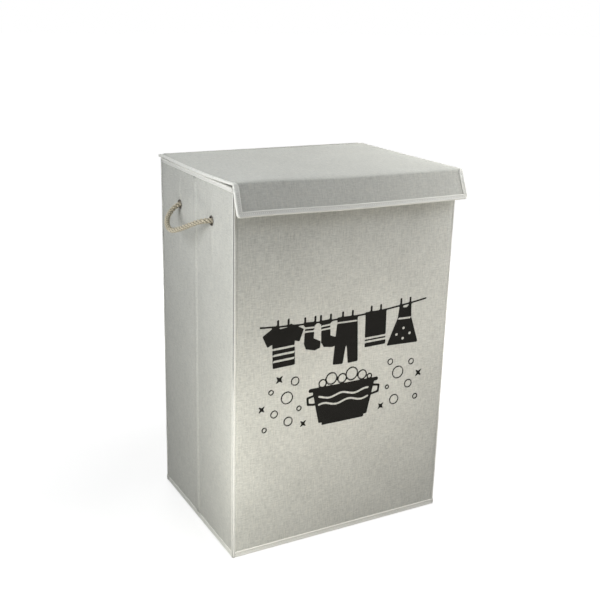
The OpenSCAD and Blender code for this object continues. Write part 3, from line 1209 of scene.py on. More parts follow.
@dataclass
class CreaseCloth:
    """The soft ridge of cloth over the crease between the two halves of a side wall."""

    name: str
    side: int
    sizes: HamperSizes = SIZES

    def build(self, rear: Body, front: Body) -> bpy.types.Object:
        """Lays the ridge from one half to the other.

        Args:
            rear: the rear half's body.
            front: the front half's body.

        Returns:
            The ridge.
        """
        s = self.sizes
        line = Profile(RIDGE, 0.0022, 0.0008)
        vs = steps(s.band + 0.0004, s.height - s.rim_leg - 0.0010, 60)
        plane = FACES["left" if self.side < 0 else "right"]
        middle = self.side * s.crease_y

        def place(q: float, v: float) -> Vector:
            """The ridge's own place.

            Args:
                q: how far across the ridge.
                v: its height.

            Returns:
                The point.
            """
            p = line.at(q)
            wave = 0.0006 * crumple(Vector((v, 0, self.side)), 9.0, 8.0)
            return plane.at(middle + p.x + wave, v, p.y + 0.0005)

        obj = woven(self.name, line.lengths, vs, place, LINEN)
        thicken(obj, 0.0004)
        y, x = s.crease_y, self.side * s.half_w
        return wear(obj, Slot.BODY, (), rear, front, start=(x, y + s.crease_soft, s.mid),
                    end=(x, y - s.crease_soft, s.mid))


# ---------------------------------------------------------------- the printed front


@dataclass(frozen=True)
class Outline:
    """A filled shape of the print, in millimetres on the front."""

    corners: tuple[Pair, ...]
    grow: float = 0.0
    cuts: tuple["Outline", ...] = ()

    def reach(self, x: float, z: float) -> float:
        """The distance from a place to this shape's edge, below nothing inside.

        Args:
            x: the place's distance to the right of the front's middle.
            z: its height.

        Returns:
            The distance in millimetres.
        """
        inside, best = False, 1e9
        count = len(self.corners)
        for i, (ax, az) in enumerate(self.corners):
            bx, bz = self.corners[(i + 1) % count]
            dx, dz = bx - ax, bz - az
            span = dx * dx + dz * dz
            t = min(1.0, max(0.0, ((x - ax) * dx + (z - az) * dz) / span)) if span else 0.0
            best = min(best, math.hypot(x - ax - t * dx, z - az - t * dz))
            if count > 2 and (az > z) != (bz > z) and x < ax + (z - az) / (bz - az) * dx:
                inside = not inside
        away = (-best if inside else best) - self.grow
        for cut in self.cuts:
            away = max(away, -cut.reach(x, z))
        return away

    def moved(self, dx: float, dz: float, turn: float = 0.0) -> "Outline":
        """The same shape somewhere else.

        Args:
            dx: how far it moves to the right.
            dz: how far it moves up.
            turn: its turn about its own origin, in degrees.

        Returns:
            The moved shape, with what is cut out of it.
        """
        c, s = math.cos(math.radians(turn)), math.sin(math.radians(turn))
        return Outline(tuple((c * x - s * z + dx, s * x + c * z + dz) for x, z in self.corners), self.grow,
                       tuple(cut.moved(dx, dz, turn) for cut in self.cuts))

    @property
    def room(self) -> tuple[float, float, float, float]:
        """The lowest and highest x and z that the shape takes up."""
        xs, zs = [p[0] for p in self.corners], [p[1] for p in self.corners]
        return min(xs) - self.grow, max(xs) + self.grow, min(zs) - self.grow, max(zs) + self.grow


def dot(x: float, z: float, radius: float, hole: float = 0.0) -> Outline:
    """A round dot, or a ring if it has a hole."""
    return Outline(((x, z),), radius, (Outline(((x, z),), hole),) if hole else ())


def stroke(points: Sequence[Pair], half: float) -> list[Outline]:
    """A line drawn through points, half wide to each side."""
    return [Outline((a, b), half) for a, b in zip(points, points[1:])]


@dataclass(frozen=True)
class WashDayPrint:
    """A line of washing over a tub of suds, for the front's print."""

    low: Pair = (-156.0, 198.0)
    high: Pair = (156.0, 408.0)
    pitch: float = 2.0

    def line_z(self, x: float) -> float:
        """The height of the washing line, which sags a little."""
        return 389.0 - 9.0 * (1 - (x / 152.0) ** 2) + 4.0 * x / 152.0

    def garments(self) -> list[Outline]:
        """The things that hang on the line, each drawn with its top middle at its origin.

        Returns:
            Their shapes, each hung in its place with its pegs.
        """
        shirt = Outline(((-13, 0), (-34, -12), (-27, -29), (-18, -25), (-18, -66), (18, -66), (18, -25),
                         (27, -29), (34, -12), (13, 0), (6, -6), (-6, -6)), 1.5,
                        tuple(Outline(((-17, z), (17, z)), 1.7) for z in (-36, -46, -56)))
        sock = Outline(((-7, 0), (7, 0), (7, -27), (20, -33), (20, -42), (12, -45), (-3, -42), (-7, -34)),
                       1.5, (Outline(((-7, -8), (7, -8)), 1.4), Outline(((-7, -14), (7, -14)), 1.4)))
        towel = Outline(((-19, 0), (19, 0), (19, -58), (-19, -58)), 1.0,
                        (Outline(((-19, -44), (19, -44)), 1.6), Outline(((-19, -50), (19, -50)), 1.6)))
        trousers = Outline(((-17, 0), (17, 0), (22, -76), (6, -77), (0, -30), (-6, -77), (-22, -76)), 1.5,
                           (Outline(((-17, -8), (17, -8)), 1.3),))
        dots = tuple(Outline(((x, z),), 2.4) for x, z in ((-13, -52), (0, -42), (13, -52), (0, -60)))
        dress = Outline(((-10, 0), (-12, -24), (-29, -68), (29, -68), (12, -24), (10, 0), (4, -8), (-4, -8)),
                        1.5, (Outline(((-11, -25), (11, -25)), 1.5),) + dots)
        hung = [(shirt, -113, 2), (sock, -66, -3), (sock, -38, 2), (trousers, 2, -1), (towel, 55, 1),
                (dress, 112, -2)]
        shapes = []
        for shape, x, turn in hung:
            top = self.line_z(x) + 1
            shapes.append(shape.moved(x, top, turn))
            for side in (-9, 9):
                shapes.append(Outline(((x + side, top - 3), (x + side, top + 9)), 1.9))
        return shapes

    def tub(self) -> list[Outline]:
        """The tub with its waves, its foam and its bubbles.

        Returns:
            Their shapes, and a few stars among them.
        """
        waves = tuple(
            part for z in (251, 238) for part in stroke(
                [(x, z + 2.6 * math.sin((x + z) / 7.5)) for x in range(-46, 50, 4)], 1.6)
        )
        bowl = Outline(((-56, 264), (56, 264), (44, 209), (-44, 209)), 2.0, waves)
        shapes = [bowl, Outline(((-62, 266), (62, 266)), 3.4), Outline(((-38, 204.5), (38, 204.5)), 2.2)]
        for side in (-1, 1):
            shapes += stroke([(side * 57, 256), (side * 67, 254), (side * 66, 243), (side * 55, 241)], 2.0)
        foam = ((-40, 275, 8), (-24, 281, 11), (-4, 278, 9), (14, 283, 12), (34, 278, 9), (48, 273, 5.5))
        shapes += [dot(x, z, r, r - 2.6) for x, z, r in foam]
        bubbles = ((-90, 288, 8), (-104, 262, 11), (-82, 240, 5), (-126, 238, 7), (-132, 276, 5),
                   (-101, 221, 8.5), (-143, 214, 5), (88, 291, 6), (104, 270, 11.5), (84, 247, 4.5),
                   (130, 285, 6), (126, 246, 8), (99, 222, 9.5), (142, 220, 5.5))
        shapes += [dot(x, z, r, r - 2.4) for x, z, r in bubbles]
        for x, z, r in ((-118, 295, 8), (-74, 212, 7), (73, 215, 7), (146, 262, 8), (-148, 250, 7)):
            points = [(r * (1 if k % 2 == 0 else 0.32) * math.cos(math.pi * k / 4),
                       r * (1 if k % 2 == 0 else 0.32) * math.sin(math.pi * k / 4)) for k in range(8)]
            shapes.append(Outline(tuple(points), 0.6).moved(x, z, 45))
        return shapes

    def lay(self, obj: bpy.types.Object) -> None:
        """Stores, at each point of the front's cloth, its distance to the print's nearest edge.

        Args:
            obj: the front's outer cloth.
        """
        line = stroke([(x, self.line_z(x)) for x in range(-152, 153, 8)], 1.5)
        shapes = [(shape, shape.room) for shape in line + self.garments() + self.tub()]
        values = []
        for v in obj.data.vertices:
            x, z, best = v.co.x / MM, v.co.z / MM, 8.0
            inside = self.low[0] <= x <= self.high[0] and self.low[1] <= z <= self.high[1]
            if inside and v.co.y < -SIZES.half_d + 0.002:
                for shape, (x0, x1, z0, z1) in shapes:
                    if x0 - best < x < x1 + best and z0 - best < z < z1 + best:
                        best = min(best, shape.reach(x, z))
            values.append(best * MM)
        store = obj.data.attributes.new("ink_distance", "FLOAT", "POINT")
        store.data.foreach_set("value", values)

    def columns(self) -> tuple[float, ...]:
        """The fine columns that the cloth needs under the print."""
        count = round((self.high[0] - self.low[0]) / self.pitch)
        return tuple(x * MM for x in steps(self.low[0], self.high[0], count))

    def rows(self) -> tuple[float, ...]:
        """The fine rows that the cloth needs under the print."""
        count = round((self.high[1] - self.low[1]) / self.pitch)
        return tuple(z * MM for z in steps(self.low[1], self.high[1], count))


# ---------------------------------------------------------------- lid and flap


FLAP_TURN = math.radians(SIZES.flap_angle)
FLAP = Plane((0, SIZES.lid_front, SIZES.lid_bottom), (1, 0, 0), (0, math.sin(FLAP_TURN), math.cos(FLAP_TURN)))


def rounded_in(x: float, y: float, half: float, far: float, radius: float) -> Pair:
    """Draws a place near a rectangle's far corners in, so that the corners become round.

    Args:
        x: distance across from the rectangle's middle line.
        y: distance towards its far side.
        half: its half width.
        far: where its far side is.
        radius: the corners' radius.

    Returns:
        The place, drawn in.
    """
    qx, qy = (abs(x) - half + radius) / radius, (y - far + radius) / radius
    if qx <= 0 or qy <= 0:
        return x, y
    share = max(qx, qy) / math.hypot(qx, qy)
    return math.copysign(half - radius + radius * qx * share, x), far - radius + radius * qy * share


def lift(x: float, y: float) -> float:
    """How far the lid's slightly warped card stands up at a place, most at its left corners.

    Args:
        x: the place across, from the middle.
        y: the place towards the rear.

    Returns:
        The height.
    """
    left = smooth((-x + 0.02) / 0.20)
    front, rear = max(0.0, (0.030 - y) / 0.179), max(0.0, (y - 0.030) / 0.118)
    at_hinge = smooth((0.150 - y) / 0.022)
    return left * at_hinge * (0.0006 + 0.0036 * front ** 2.4 + 0.0014 * rear ** 1.3)


def lifted(place: Callable[[float, float], Vector]) -> Place:
    """The same place, with the lid's warp added to it.

    Args:
        place: gives the point of the flat lid.

    Returns:
        What gives the warped lid's point.
    """

    def moved(u: float, v: float) -> Vector:
        """The place, stood up with the lid.

        Args:
            u: the first of the two numbers that place takes.
            v: the second.

        Returns:
            The point.
        """
        p = place(u, v)
        low = smooth((SIZES.lid_bottom - p.z) / 0.04)
        askew = (0.0020 + 0.0016 * low) * smooth((0.02 - p.y) / 0.16) * smooth((p.x + 0.05) / 0.2)
        p.z += lift(p.x, max(p.y, SIZES.lid_front)) * (1 - 0.25 * low)
        p.x += askew
        return p

    return moved


@dataclass(frozen=True)
class PanelTape:
    """A tape folded over three edges of a panel: up one side, across its far edge and down the other."""

    name: str
    node: str
    body: Body
    far: float
    radius: float
    near: float
    wall: float
    leg: float
    proud: float
    sizes: HamperSizes = SIZES

    def route(self) -> tuple[list[float], Callable[[float, float], Pair]]:
        """Works out the tape's way along the three edges.

        Returns:
            The lengths along it, and what gives a place for a length and a distance in from the edge.
        """
        half, far, radius, near = self.sizes.lid_half, self.far, self.radius, self.near
        side, turn, across = far - radius - near, radius * math.pi / 2, 2 * (half - radius)
        marks = [0.0, side, side + turn, side + turn + across, side + 2 * turn + across,
                 2 * (side + turn) + across]
        corner, upright = 8 if radius > 0.003 else 4, max(2, round(side / PANEL_STEP))
        counts = [upright, corner, max(2, round(across / PANEL_STEP)), corner, upright]
        lengths = sorted({w for a, b, c in zip(marks, marks[1:], counts) for w in steps(a, b, c)})

        def at(w: float, inset: float) -> Pair:
            """The place w along the route and inset from the edge.

            Args:
                w: how far along the route.
                inset: how far in from the edge.

            Returns:
                The place.
            """
            way = 1.0
            if w > marks[-1] / 2:
                w, way = marks[-1] - w, -1.0
            pull = max(inset, radius)
            cx, cy, r = -(half - pull), far - pull, max(radius - inset, 0.0)
            if w < marks[1]:
                share = min(1.0, w / marks[1])
                low = near + (far - radius - near) * share
                return way * -(half - inset), min(low, far - pull)
            if w <= marks[2]:
                a = (w - marks[1]) / radius
                return way * (cx - r * math.cos(a)), cy + r * math.sin(a)
            x = -(half - radius) + (w - marks[2])
            return way * max(x, cx), far - inset

        return lengths, at

    def build(self, place_at: Callable[[float, float, float], Vector],
              flip: bool = False) -> bpy.types.Object:
        """Folds the tape over its edges.

        Args:
            place_at: gives the point for a place across, along and out of the panel.
            flip: turns the faces round.

        Returns:
            The tape.
        """
        s = self.sizes
        lengths, route = self.route()
        line = tape_profile(self.leg, max(self.leg, s.band * 0.9), self.wall, self.proud)
        full = self.proud / s.tape

        def place(w: float, q: float) -> Vector:
            """The tape's own place.

            Args:
                w: how far along its route.
                q: how far round its line.

            Returns:
                The point.
            """
            depth, out = line.at(q).x, line.at(q).y
            wave = 0.0002 * crumple(Vector((w, q, s.lid_half)), 28.0, 7.0) * smooth(depth / 0.004)
            out += full * math.copysign(wave + 0.9 * pad(depth, self.leg), out + self.wall / 2)
            x, y = route(w, max(depth, 0.0))
            if depth < 0:
                ax, ay = route(w, 0.0004)
                x, y = x + (x - ax) * -depth / 0.0004, y + (y - ay) * -depth / 0.0004
            return place_at(x, y, out)

        obj = woven(self.name, lengths, line.lengths, lifted(place), TAPE,
                    uv=lambda w, q: (w, line.at(q).x / self.leg if full > 0.9 else 0.0), flip=flip)
        thicken(obj, self.proud * 0.85)
        return wear(obj, Slot.TAPE, [self.node], self.body)


@dataclass
class Lid:
    """The lid of card in cloth, with the flap that hangs from its front edge on a soft fold."""

    round_flap: float = 0.005
    round_lid: float = 0.0015
    strip_bend: Pair = (0.5985, 0.6048)
    sizes: HamperSizes = SIZES

    def cloth(self) -> bpy.types.Object:
        """Lays one cloth over the lid, round the fold and down the flap.

        Returns:
            The cloth.
        """
        s = self.sizes
        half, arc = s.lid_half, s.fold_r * (math.pi / 2 - FLAP_TURN)
        back, front = s.lid_rear, s.lid_front
        us = widened(steps(-half, half, 48), LID_TURN_IN)
        top = steps(front - back, 0.0, 36)
        fold = [arc * k / 8 for k in range(1, 9)]
        down = [arc + d for d in steps(0.0, s.flap_end, 12)[1:]]
        vs = widened(top + fold + down, LID_TURN_IN)
        last = down[-1]

        def place(u: float, d: float) -> Vector:
            """The cloth's own place, d past the lid's front edge.

            Args:
                u: how far across.
                d: how far past the edge, below nothing on the lid.

            Returns:
                The point.
            """
            cu, cd = min(max(u, -half), half), min(max(d, top[0]), last)
            over = max(abs(u - cu), abs(d - cd))
            soft = smooth((half - abs(cu)) / PADDED)
            p = Vector((cu, cd, 0))
            if cd <= 0:
                soft *= smooth((cd - top[0]) / PADDED) * smooth(-cd / 0.012 + 0.25)
                x, y = rounded_in(cu, -cd, half, back - front, self.round_lid)
                up = soft * (0.0009 + 0.0006 * crumple(p, 5.0, 31.0) + 0.00012 * crumple(p, 24.0, 31.0))
                return Vector((x, front + y, s.lid_top + max(up, 0.0) - over))
            if cd <= arc:
                a = math.pi / 2 + cd / s.fold_r
                sag = 0.0002 * crumple(p, 30.0, 33.0)
                r = s.fold_r + sag
                return Vector((cu, front + r * math.cos(a), s.lid_bottom + r * math.sin(a) - 0.6 * over))
            reach = cd - arc
            x, y = rounded_in(cu, reach, half, s.flap_end, self.round_flap)
            soft *= smooth(reach / 0.012) * smooth((s.flap_end - reach) / 0.014)
            out = soft * (0.0004 + 0.0004 * crumple(p, 8.0, 35.0))
            thin = over if reach > s.crease_w - 0.001 else 0.15 * over
            return FLAP.at(x, -y, s.fold_r + max(out, 0.0) - thin)

        obj = woven("lid_cloth", us, vs, lifted(place), LINEN, flip=True)
        merge(obj)
        thicken(obj, s.cloth)
        low = FLAP.at(0, -s.crease_w, s.fold_r)
        wear(obj, Slot.BODY, ["lid_cover", "flap_fold", "flap_cover"], Body.LID, Body.FLAP,
             start=(0, front, s.lid_top), end=tuple(low))
        return obj

    def lining(self) -> bpy.types.Object:
        """Makes the lid's card and lays the cloth under it.

        Returns:
            The cloth.
        """
        s = self.sizes
        edge = s.lid_half - s.cloth
        us, vs = steps(-edge, edge, 44), steps(s.lid_front + s.cloth, s.lid_rear - s.cloth, 32)
        flat = lifted(lambda u, v: Vector((-u, v, s.lid_bottom + s.cloth)))
        card = thicken(woven("lid_card", us, vs, flat, CARD), s.wall - 2 * s.cloth - 0.0001)
        wear(card, Slot.CARD, ["lid_board"], Body.LID)
        under = lifted(uneven(FACES["lid_under"], 41.0))
        obj = thicken(woven("lid_inner_cloth", us, vs, under, LINING), s.cloth * 0.7)
        wear(obj, Slot.LINING, ["lid_lining"], Body.LID)
        return obj

    def tapes(self) -> None:
        """Folds the lid's tape and the flap's."""
        s = self.sizes
        lid = PanelTape("lid_tape", "lid_binding", Body.LID, s.lid_rear, self.round_lid, s.lid_front, s.wall,
                        0.0024, 0.00025)
        lid.build(lambda x, y, out: Vector((x, y, s.lid_top + out)))
        flap = PanelTape("flap_tape", "flap_binding", Body.FLAP, s.flap_end, self.round_flap, 0.0054,
                         s.flap_t, 0.0076, s.tape)
        flap.build(lambda x, y, out: FLAP.at(x, -y, s.fold_r + out), flip=True)

    def fold_tapes(self) -> None:
        """Binds the two ends of the fold, from the lid's tape round to the flap's."""
        s = self.sizes
        arc = s.fold_r * (math.pi / 2 - FLAP_TURN)
        line = tape_profile(0.005, 0.005, 0.0036, s.tape)
        for side, word in ((-1, "left"), (1, "right")):

            def place(d: float, q: float, side: int = side) -> Vector:
                """The tape's own place, d past the lid's front edge.

                Args:
                    d: how far past the edge.
                    q: how far round its line.
                    side: which end of the fold, -1 or 1.

                Returns:
                    The point.
                """
                share = smooth((d + 0.003) / (arc + 0.006))
                leg, proud = 0.0024 + 0.0052 * share, 0.4 + 0.6 * share
                depth, out = line.at(q).x, line.at(q).y
                depth = depth * leg / 0.005 if depth > 0 else depth * proud
                rise = proud * (max(out, 0.0) + (pad(depth, leg) if out > 0 else 0.0))
                wall = 1.0 - 0.45 * hump(d, arc / 2, arc)
                out = rise if out > 0 else out * wall
                u = side * (s.lid_half - depth)
                if d <= 0:
                    return Vector((u, s.lid_front - d, s.lid_top + out))
                if d <= arc:
                    a, r = math.pi / 2 + d / s.fold_r, s.fold_r + out
                    return Vector((u, s.lid_front + r * math.cos(a), s.lid_bottom + r * math.sin(a)))
                return FLAP.at(u, arc - d, s.fold_r + out)

            obj = woven(f"fold_{word}_tape", steps(-0.003, arc + 0.0066, 20), line.lengths, lifted(place),
                        TAPE, uv=lambda d, q: (d, 0.0), flip=side < 0)
            thicken(obj, s.tape * 0.6)
            wear(obj, Slot.TAPE, (), Body.LID, Body.FLAP, start=(0, s.lid_front, s.lid_top),
                 end=tuple(FLAP.at(0, -s.crease_w, s.fold_r)))

    def flap_layers(self) -> None:
        """Makes the flap's card and the cloth behind it, with the flap's rounded corners."""
        s = self.sizes
        edge = s.lid_half - s.cloth
        layers = (("flap_card", Slot.CARD, "flap_board", CARD, s.fold_r - s.cloth, s.flap_t - 2 * s.cloth),
                  ("flap_inner_cloth", Slot.LINING, "flap_lining", LINING, s.fold_r - s.flap_t + s.cloth,
                   s.cloth))
        for name, slot, node, finish, out, thick in layers:

            def place(u: float, v: float, out: float = out) -> Vector:
                """The layer's own place, with rounded corners.

                Args:
                    u: how far across.
                    v: how far up.
                    out: how far out of the flap's own face.

                Returns:
                    The point.
                """
                x, y = rounded_in(u, v, edge, s.flap_end - s.cloth, self.round_flap - s.cloth)
                return FLAP.at(x, -y, out)

            obj = woven(name, steps(-edge, edge, 44), steps(s.crease_w + s.cloth, s.flap_end - s.cloth, 9),
                        lifted(place), finish, flip=True)
            wear(thicken(obj, thick), slot, [node], Body.FLAP)

    def hinge_strip(self) -> bpy.types.Object:
        """Lays the strip of cloth that joins the lid's rear edge to the back wall.

        Returns:
            The strip.
        """
        s = self.sizes
        rear = s.half_d + s.tape
        line = Profile([(rear + 0.0008, 0.574), (rear + 0.0008, 0.597), (s.lid_turn_y + 0.0008, 0.6005),
                        (s.lid_turn_y + 0.0008, 0.6060), (s.lid_turn_y - 0.0040, 0.6061),
                        (s.lid_turn_y - 0.0058, 0.6055)], 0.0016, 0.0008)
        us = steps(-s.strip_half, s.strip_half, 48)

        def place(u: float, q: float) -> Vector:
            """The strip's own place.

            Args:
                u: how far across.
                q: how far along its line.

            Returns:
                The point.
            """
            p = line.at(q)
            wave = 0.00025 * crumple(Vector((u, q, 0)), 16.0, 51.0) * smooth((0.6 - p.y) / 0.008)
            return Vector((u, p.x + wave, p.y))

        obj = woven("lid_hinge_cloth", us, line.lengths, place, LINEN, flip=True)
        thicken(obj, 0.0007)
        start, end = ((0, s.lid_turn_y, z) for z in self.strip_bend)
        wear(obj, Slot.BODY, ["lid_hinge_strip"], Body.BACK, Body.LID, start=start, end=end)
        return obj


# ---------------------------------------------------------------- base panel


@dataclass
class BasePanel:
    """The loose panel on the floor of the hamper, in cloth on both faces."""

    sizes: HamperSizes = SIZES

    def build(self) -> None:
        """Lays its under cloth with turned edges, and its upper cloth."""
        s = self.sizes
        hx, hy = s.base_half_x, s.base_half_y
        plane = FACES["base_under"]

        def under(u: float, v: float) -> Vector:
            """The under cloth's own place, turned up at its edges.

            Args:
                u: how far across.
                v: how far up.

            Returns:
                The point.
            """
            cu, cv = min(max(u, -hx), hx), min(max(v, -hy), hy)
            return plane.at(cu, cv, -max(abs(u - cu), abs(v - cv)))

        obj = woven("base_under_cloth", widened(steps(-hx, hx, 40), TURN_IN),
                    widened(steps(-hy, hy, 30), TURN_IN), under, LINEN)
        merge(obj)
        wear(thicken(obj, s.cloth), Slot.BODY, ["base_cover"], Body.BASE)

        def upper(u: float, v: float) -> Vector:
            """The upper cloth's own place, a little padded.

            Args:
                u: how far across.
                v: how far up.

            Returns:
                The point.
            """
            p = Vector((u, v, 0))
            soft = smooth(min(hx - abs(u), hy - abs(v)) / PADDED)
            return FACES["base_in"].at(u, v, soft * (0.0006 + 0.0005 * crumple(p, 7.0, 61.0)))

        ex, ey = hx - s.cloth, hy - s.cloth
        obj = woven("base_inner_cloth", steps(-ex, ex, 40), steps(-ey, ey, 30), upper, LINING)
        wear(thicken(obj, s.cloth), Slot.LINING, ["base_lining"], Body.BASE)


# ---------------------------------------------------------------- rope


@dataclass(frozen=True)
class Strands:
    """A rope's section: three strands that lie against each other and turn as they run."""

    diameter: float
    lay: float = 0.0195
    around: int = 42
    strand: float = 0.535

    def radius(self, angle: float) -> float:
        """How far the surface is from the rope's middle in a direction.

        Args:
            angle: the direction; the strands' own are at 0, 120 and 240 degrees.

        Returns:
            The distance.
        """
        r = self.diameter / 2 * self.strand
        c = self.diameter / 2 - r
        d = (angle + math.pi / 3) % (2 * math.pi / 3) - math.pi / 3
        return c * math.cos(d) + math.sqrt(max(0.0, r * r - (c * math.sin(d)) ** 2))

    def sweep(self, name: str, line: Sequence[Vector], ball: tuple[bool, bool] = (False, False),
              spread_end: float = 0.0) -> bpy.types.Object:
        """Twists the rope along a line.

        Args:
            name: the piece's name.
            line: the points that it follows.
            ball: whether each end is rounded off past the line's end.
            spread_end: how much wider its last centimetre frays.

        Returns:
            The rope.
        """
        line = list(line)
        length = sum((b - a).length for a, b in zip(line, line[1:]))
        reach = self.diameter / 2
        bulge = [(math.sin(math.pi * k / 32), math.cos(math.pi * k / 32)) for k in (4, 8, 12, 15)]
        heads = [(line[0], -k * reach, w) for k, w in reversed(bulge)] if ball[0] else [(line[0], 0.0, 0.55)]
        tails = [(line[-1], k * reach, w) for k, w in bulge] if ball[1] else [(line[-1], 0.0, 0.55)]
        stations = heads + [(p, 0.0, 1.0) for p in line] + tails
        frames, normal = [], None
        for i, (p, off, wide) in enumerate(stations):
            k = min(max(i - len(heads), 0), len(line) - 1)
            way = (line[min(k + 1, len(line) - 1)] - line[max(k - 1, 0)]).normalized()
            if normal is None:
                normal = way.orthogonal().normalized()
            normal = (normal - way * normal.dot(way)).normalized()
            frames.append((p + way * off, way, normal.copy(), wide))
        far = [0.0]
        for (a, *_), (b, *_) in zip(frames, frames[1:]):
            far.append(far[-1] + max((b - a).length, 1e-5))

        def place(t: float, i: float) -> Vector:
            """The surface's own place, t of the way round at station i.

            Args:
                t: the share of the way round.
                i: the station, as a whole number.

            Returns:
                The point.
            """
            p, way, side, wide = frames[round(i)]
            s = far[round(i)]
            fray = 1 + spread_end * smooth((s - length + 0.010) / 0.008)
            turn = math.tau * s / self.lay
            a = t * math.tau
            r = self.radius(a) * wide * fray
            r *= 1 + 0.035 * noise.noise(Vector((s * 160, 3 * math.cos(a), 3 * math.sin(a))))
            return p + Matrix.Rotation(a + turn, 3, way) @ (side * r)

        ring = [k / self.around for k in range(self.around + 1)]
        return woven(name, ring, [float(i) for i in range(len(frames))], place, ROPE,
                     uv=lambda t, i: (far[round(i)], t), closed=True, capped=True)


# The loop's route, as shares of its reach, of the eyelets' distance from the crease and of its droop.
LOOP: tuple[Point, ...] = (
    (0, 1, 0), (.26, .97, .16), (.52, .88, .40), (.74, .73, .60), (.90, .54, .78), (.99, .32, .94),
    (.98, .10, 1), (.88, -.13, .84), (.74, -.35, .62), (.58, -.56, .38), (.41, -.75, .16), (.20, -.92, .02),
    (0, -1, 0))


@dataclass
class RopeHandle:
    """A loop of twisted rope through two eyelets, with a knot behind each."""

    side: int
    handle: Body
    rear: Body
    front: Body
    reach: float = 0.0362
    droop: float = 0.027
    knot_r: float = 0.00215
    knot_d: float = 0.0066
    knot_in: float = 0.0066
    end_d: float = 0.0072
    sizes: HamperSizes = SIZES

    @property
    def word(self) -> str:
        """The side's name."""
        return "left" if self.side < 0 else "right"

    def eyelets(self) -> dict[str, Eyelet]:
        """The two eyelets that the rope runs through, by the half that each is in.

        Returns:
            The eyelets.
        """
        s = self.sizes
        return {half: Eyelet(f"{self.word}_{half}_eyelet", body, self.side, s.crease_y + way * s.eyelet_half)
                for half, body, way in (("rear", self.rear, 1), ("front", self.front, -1))}

    def route(self) -> list[Vector]:
        """The middle line of the loop, from the rear eyelet out and down to the front one.

        Returns:
            The line's points.
        """
        s = self.sizes
        points = [(self.side * (s.rope_x + a * self.reach), s.crease_y + b * s.eyelet_half,
                   s.eyelet_z - c * self.droop) for a, b, c in LOOP]
        return through(points, 10)

    def build(self) -> None:
        """Makes the loop, its two knots and its eyelets."""
        s = self.sizes
        line = even(self.route(), ROPE_STEP)
        rope = Strands(s.rope_d).sweep(self.word + "_loop", line, (True, True))
        wear(rope, Slot.ROPE, [self.word + "_rope"], self.handle)
        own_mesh(rope)
        knots = []
        for half, ring in self.eyelets().items():
            ring.build()
            knots += self.knot(half, ring)

    def knot(self, half: str, ring: Eyelet) -> list[bpy.types.Object]:
        """Ties the rope's end behind an eyelet.

        Args:
            half: the half of the wall, rear or front.
            ring: the eyelet.

        Returns:
            The knot and the rope's end that hangs from it.
        """
        s = self.sizes
        inward = Vector((-self.side, 0, 0))
        across, up = Vector((0, 1, 0)), Vector((0, 0, 1))
        middle = ring.centre + inward * (s.wall + self.knot_in)
        name = f"{self.word}_{half}_knot"
        loop = []
        for k in range(97):
            t = math.tau * k / 96
            loop.append(middle + across * self.knot_r * (math.sin(t) + 2 * math.sin(2 * t))
                        + up * self.knot_r * (math.cos(t) - 2 * math.cos(2 * t))
                        + inward * -0.0020 * math.sin(3 * t))
        tied = Strands(self.knot_d, 0.022, 30).sweep(name + "_turns", even(loop, ROPE_STEP))
        wear(tied, Slot.ROPE, [name], ring.body)
        through_bore = [ring.centre - inward * 0.0008, ring.centre + inward * (s.wall + 0.004)]
        neck = Strands(s.rope_d, 0.030, 36).sweep(name + "_neck", even(through_bore, ROPE_STEP))
        lean = 0.004 if half == "rear" else -0.003
        tail = through([middle + up * 0.001, middle - up * 0.009 + across * lean * 0.5 + inward * 0.001,
                        middle - up * 0.0175 + across * lean,
                        middle - up * 0.027 + across * lean * 1.6 - inward * 0.001], 8)
        end = Strands(self.end_d, 0.026, 36).sweep(name + "_end", even(tail, ROPE_STEP), spread_end=0.25)
        for obj in (neck, end):
            wear(obj, Slot.ROPE, (), ring.body)
        return [tied, neck, end]


# ---------------------------------------------------------------- studio


@dataclass(frozen=True)
class Softbox:
    """A square lamp that looks at a point."""

    name: str
    place: Point
    target: Point
    size: float
    power: float
    colour: Point = (1.0, 1.0, 1.0)

    def build(self) -> None:
        """Hangs the lamp."""
        lamp = bpy.data.lights.new(self.name, "AREA")
        lamp.shape = "SQUARE"
        lamp.size, lamp.energy, lamp.color = self.size, self.power, self.colour
        obj = link(self.name, lamp)
        obj.location = self.place
        obj.visible_camera = False
        obj.rotation_euler = (Vector(self.target) - Vector(self.place)).to_track_quat("-Z", "Y").to_euler()


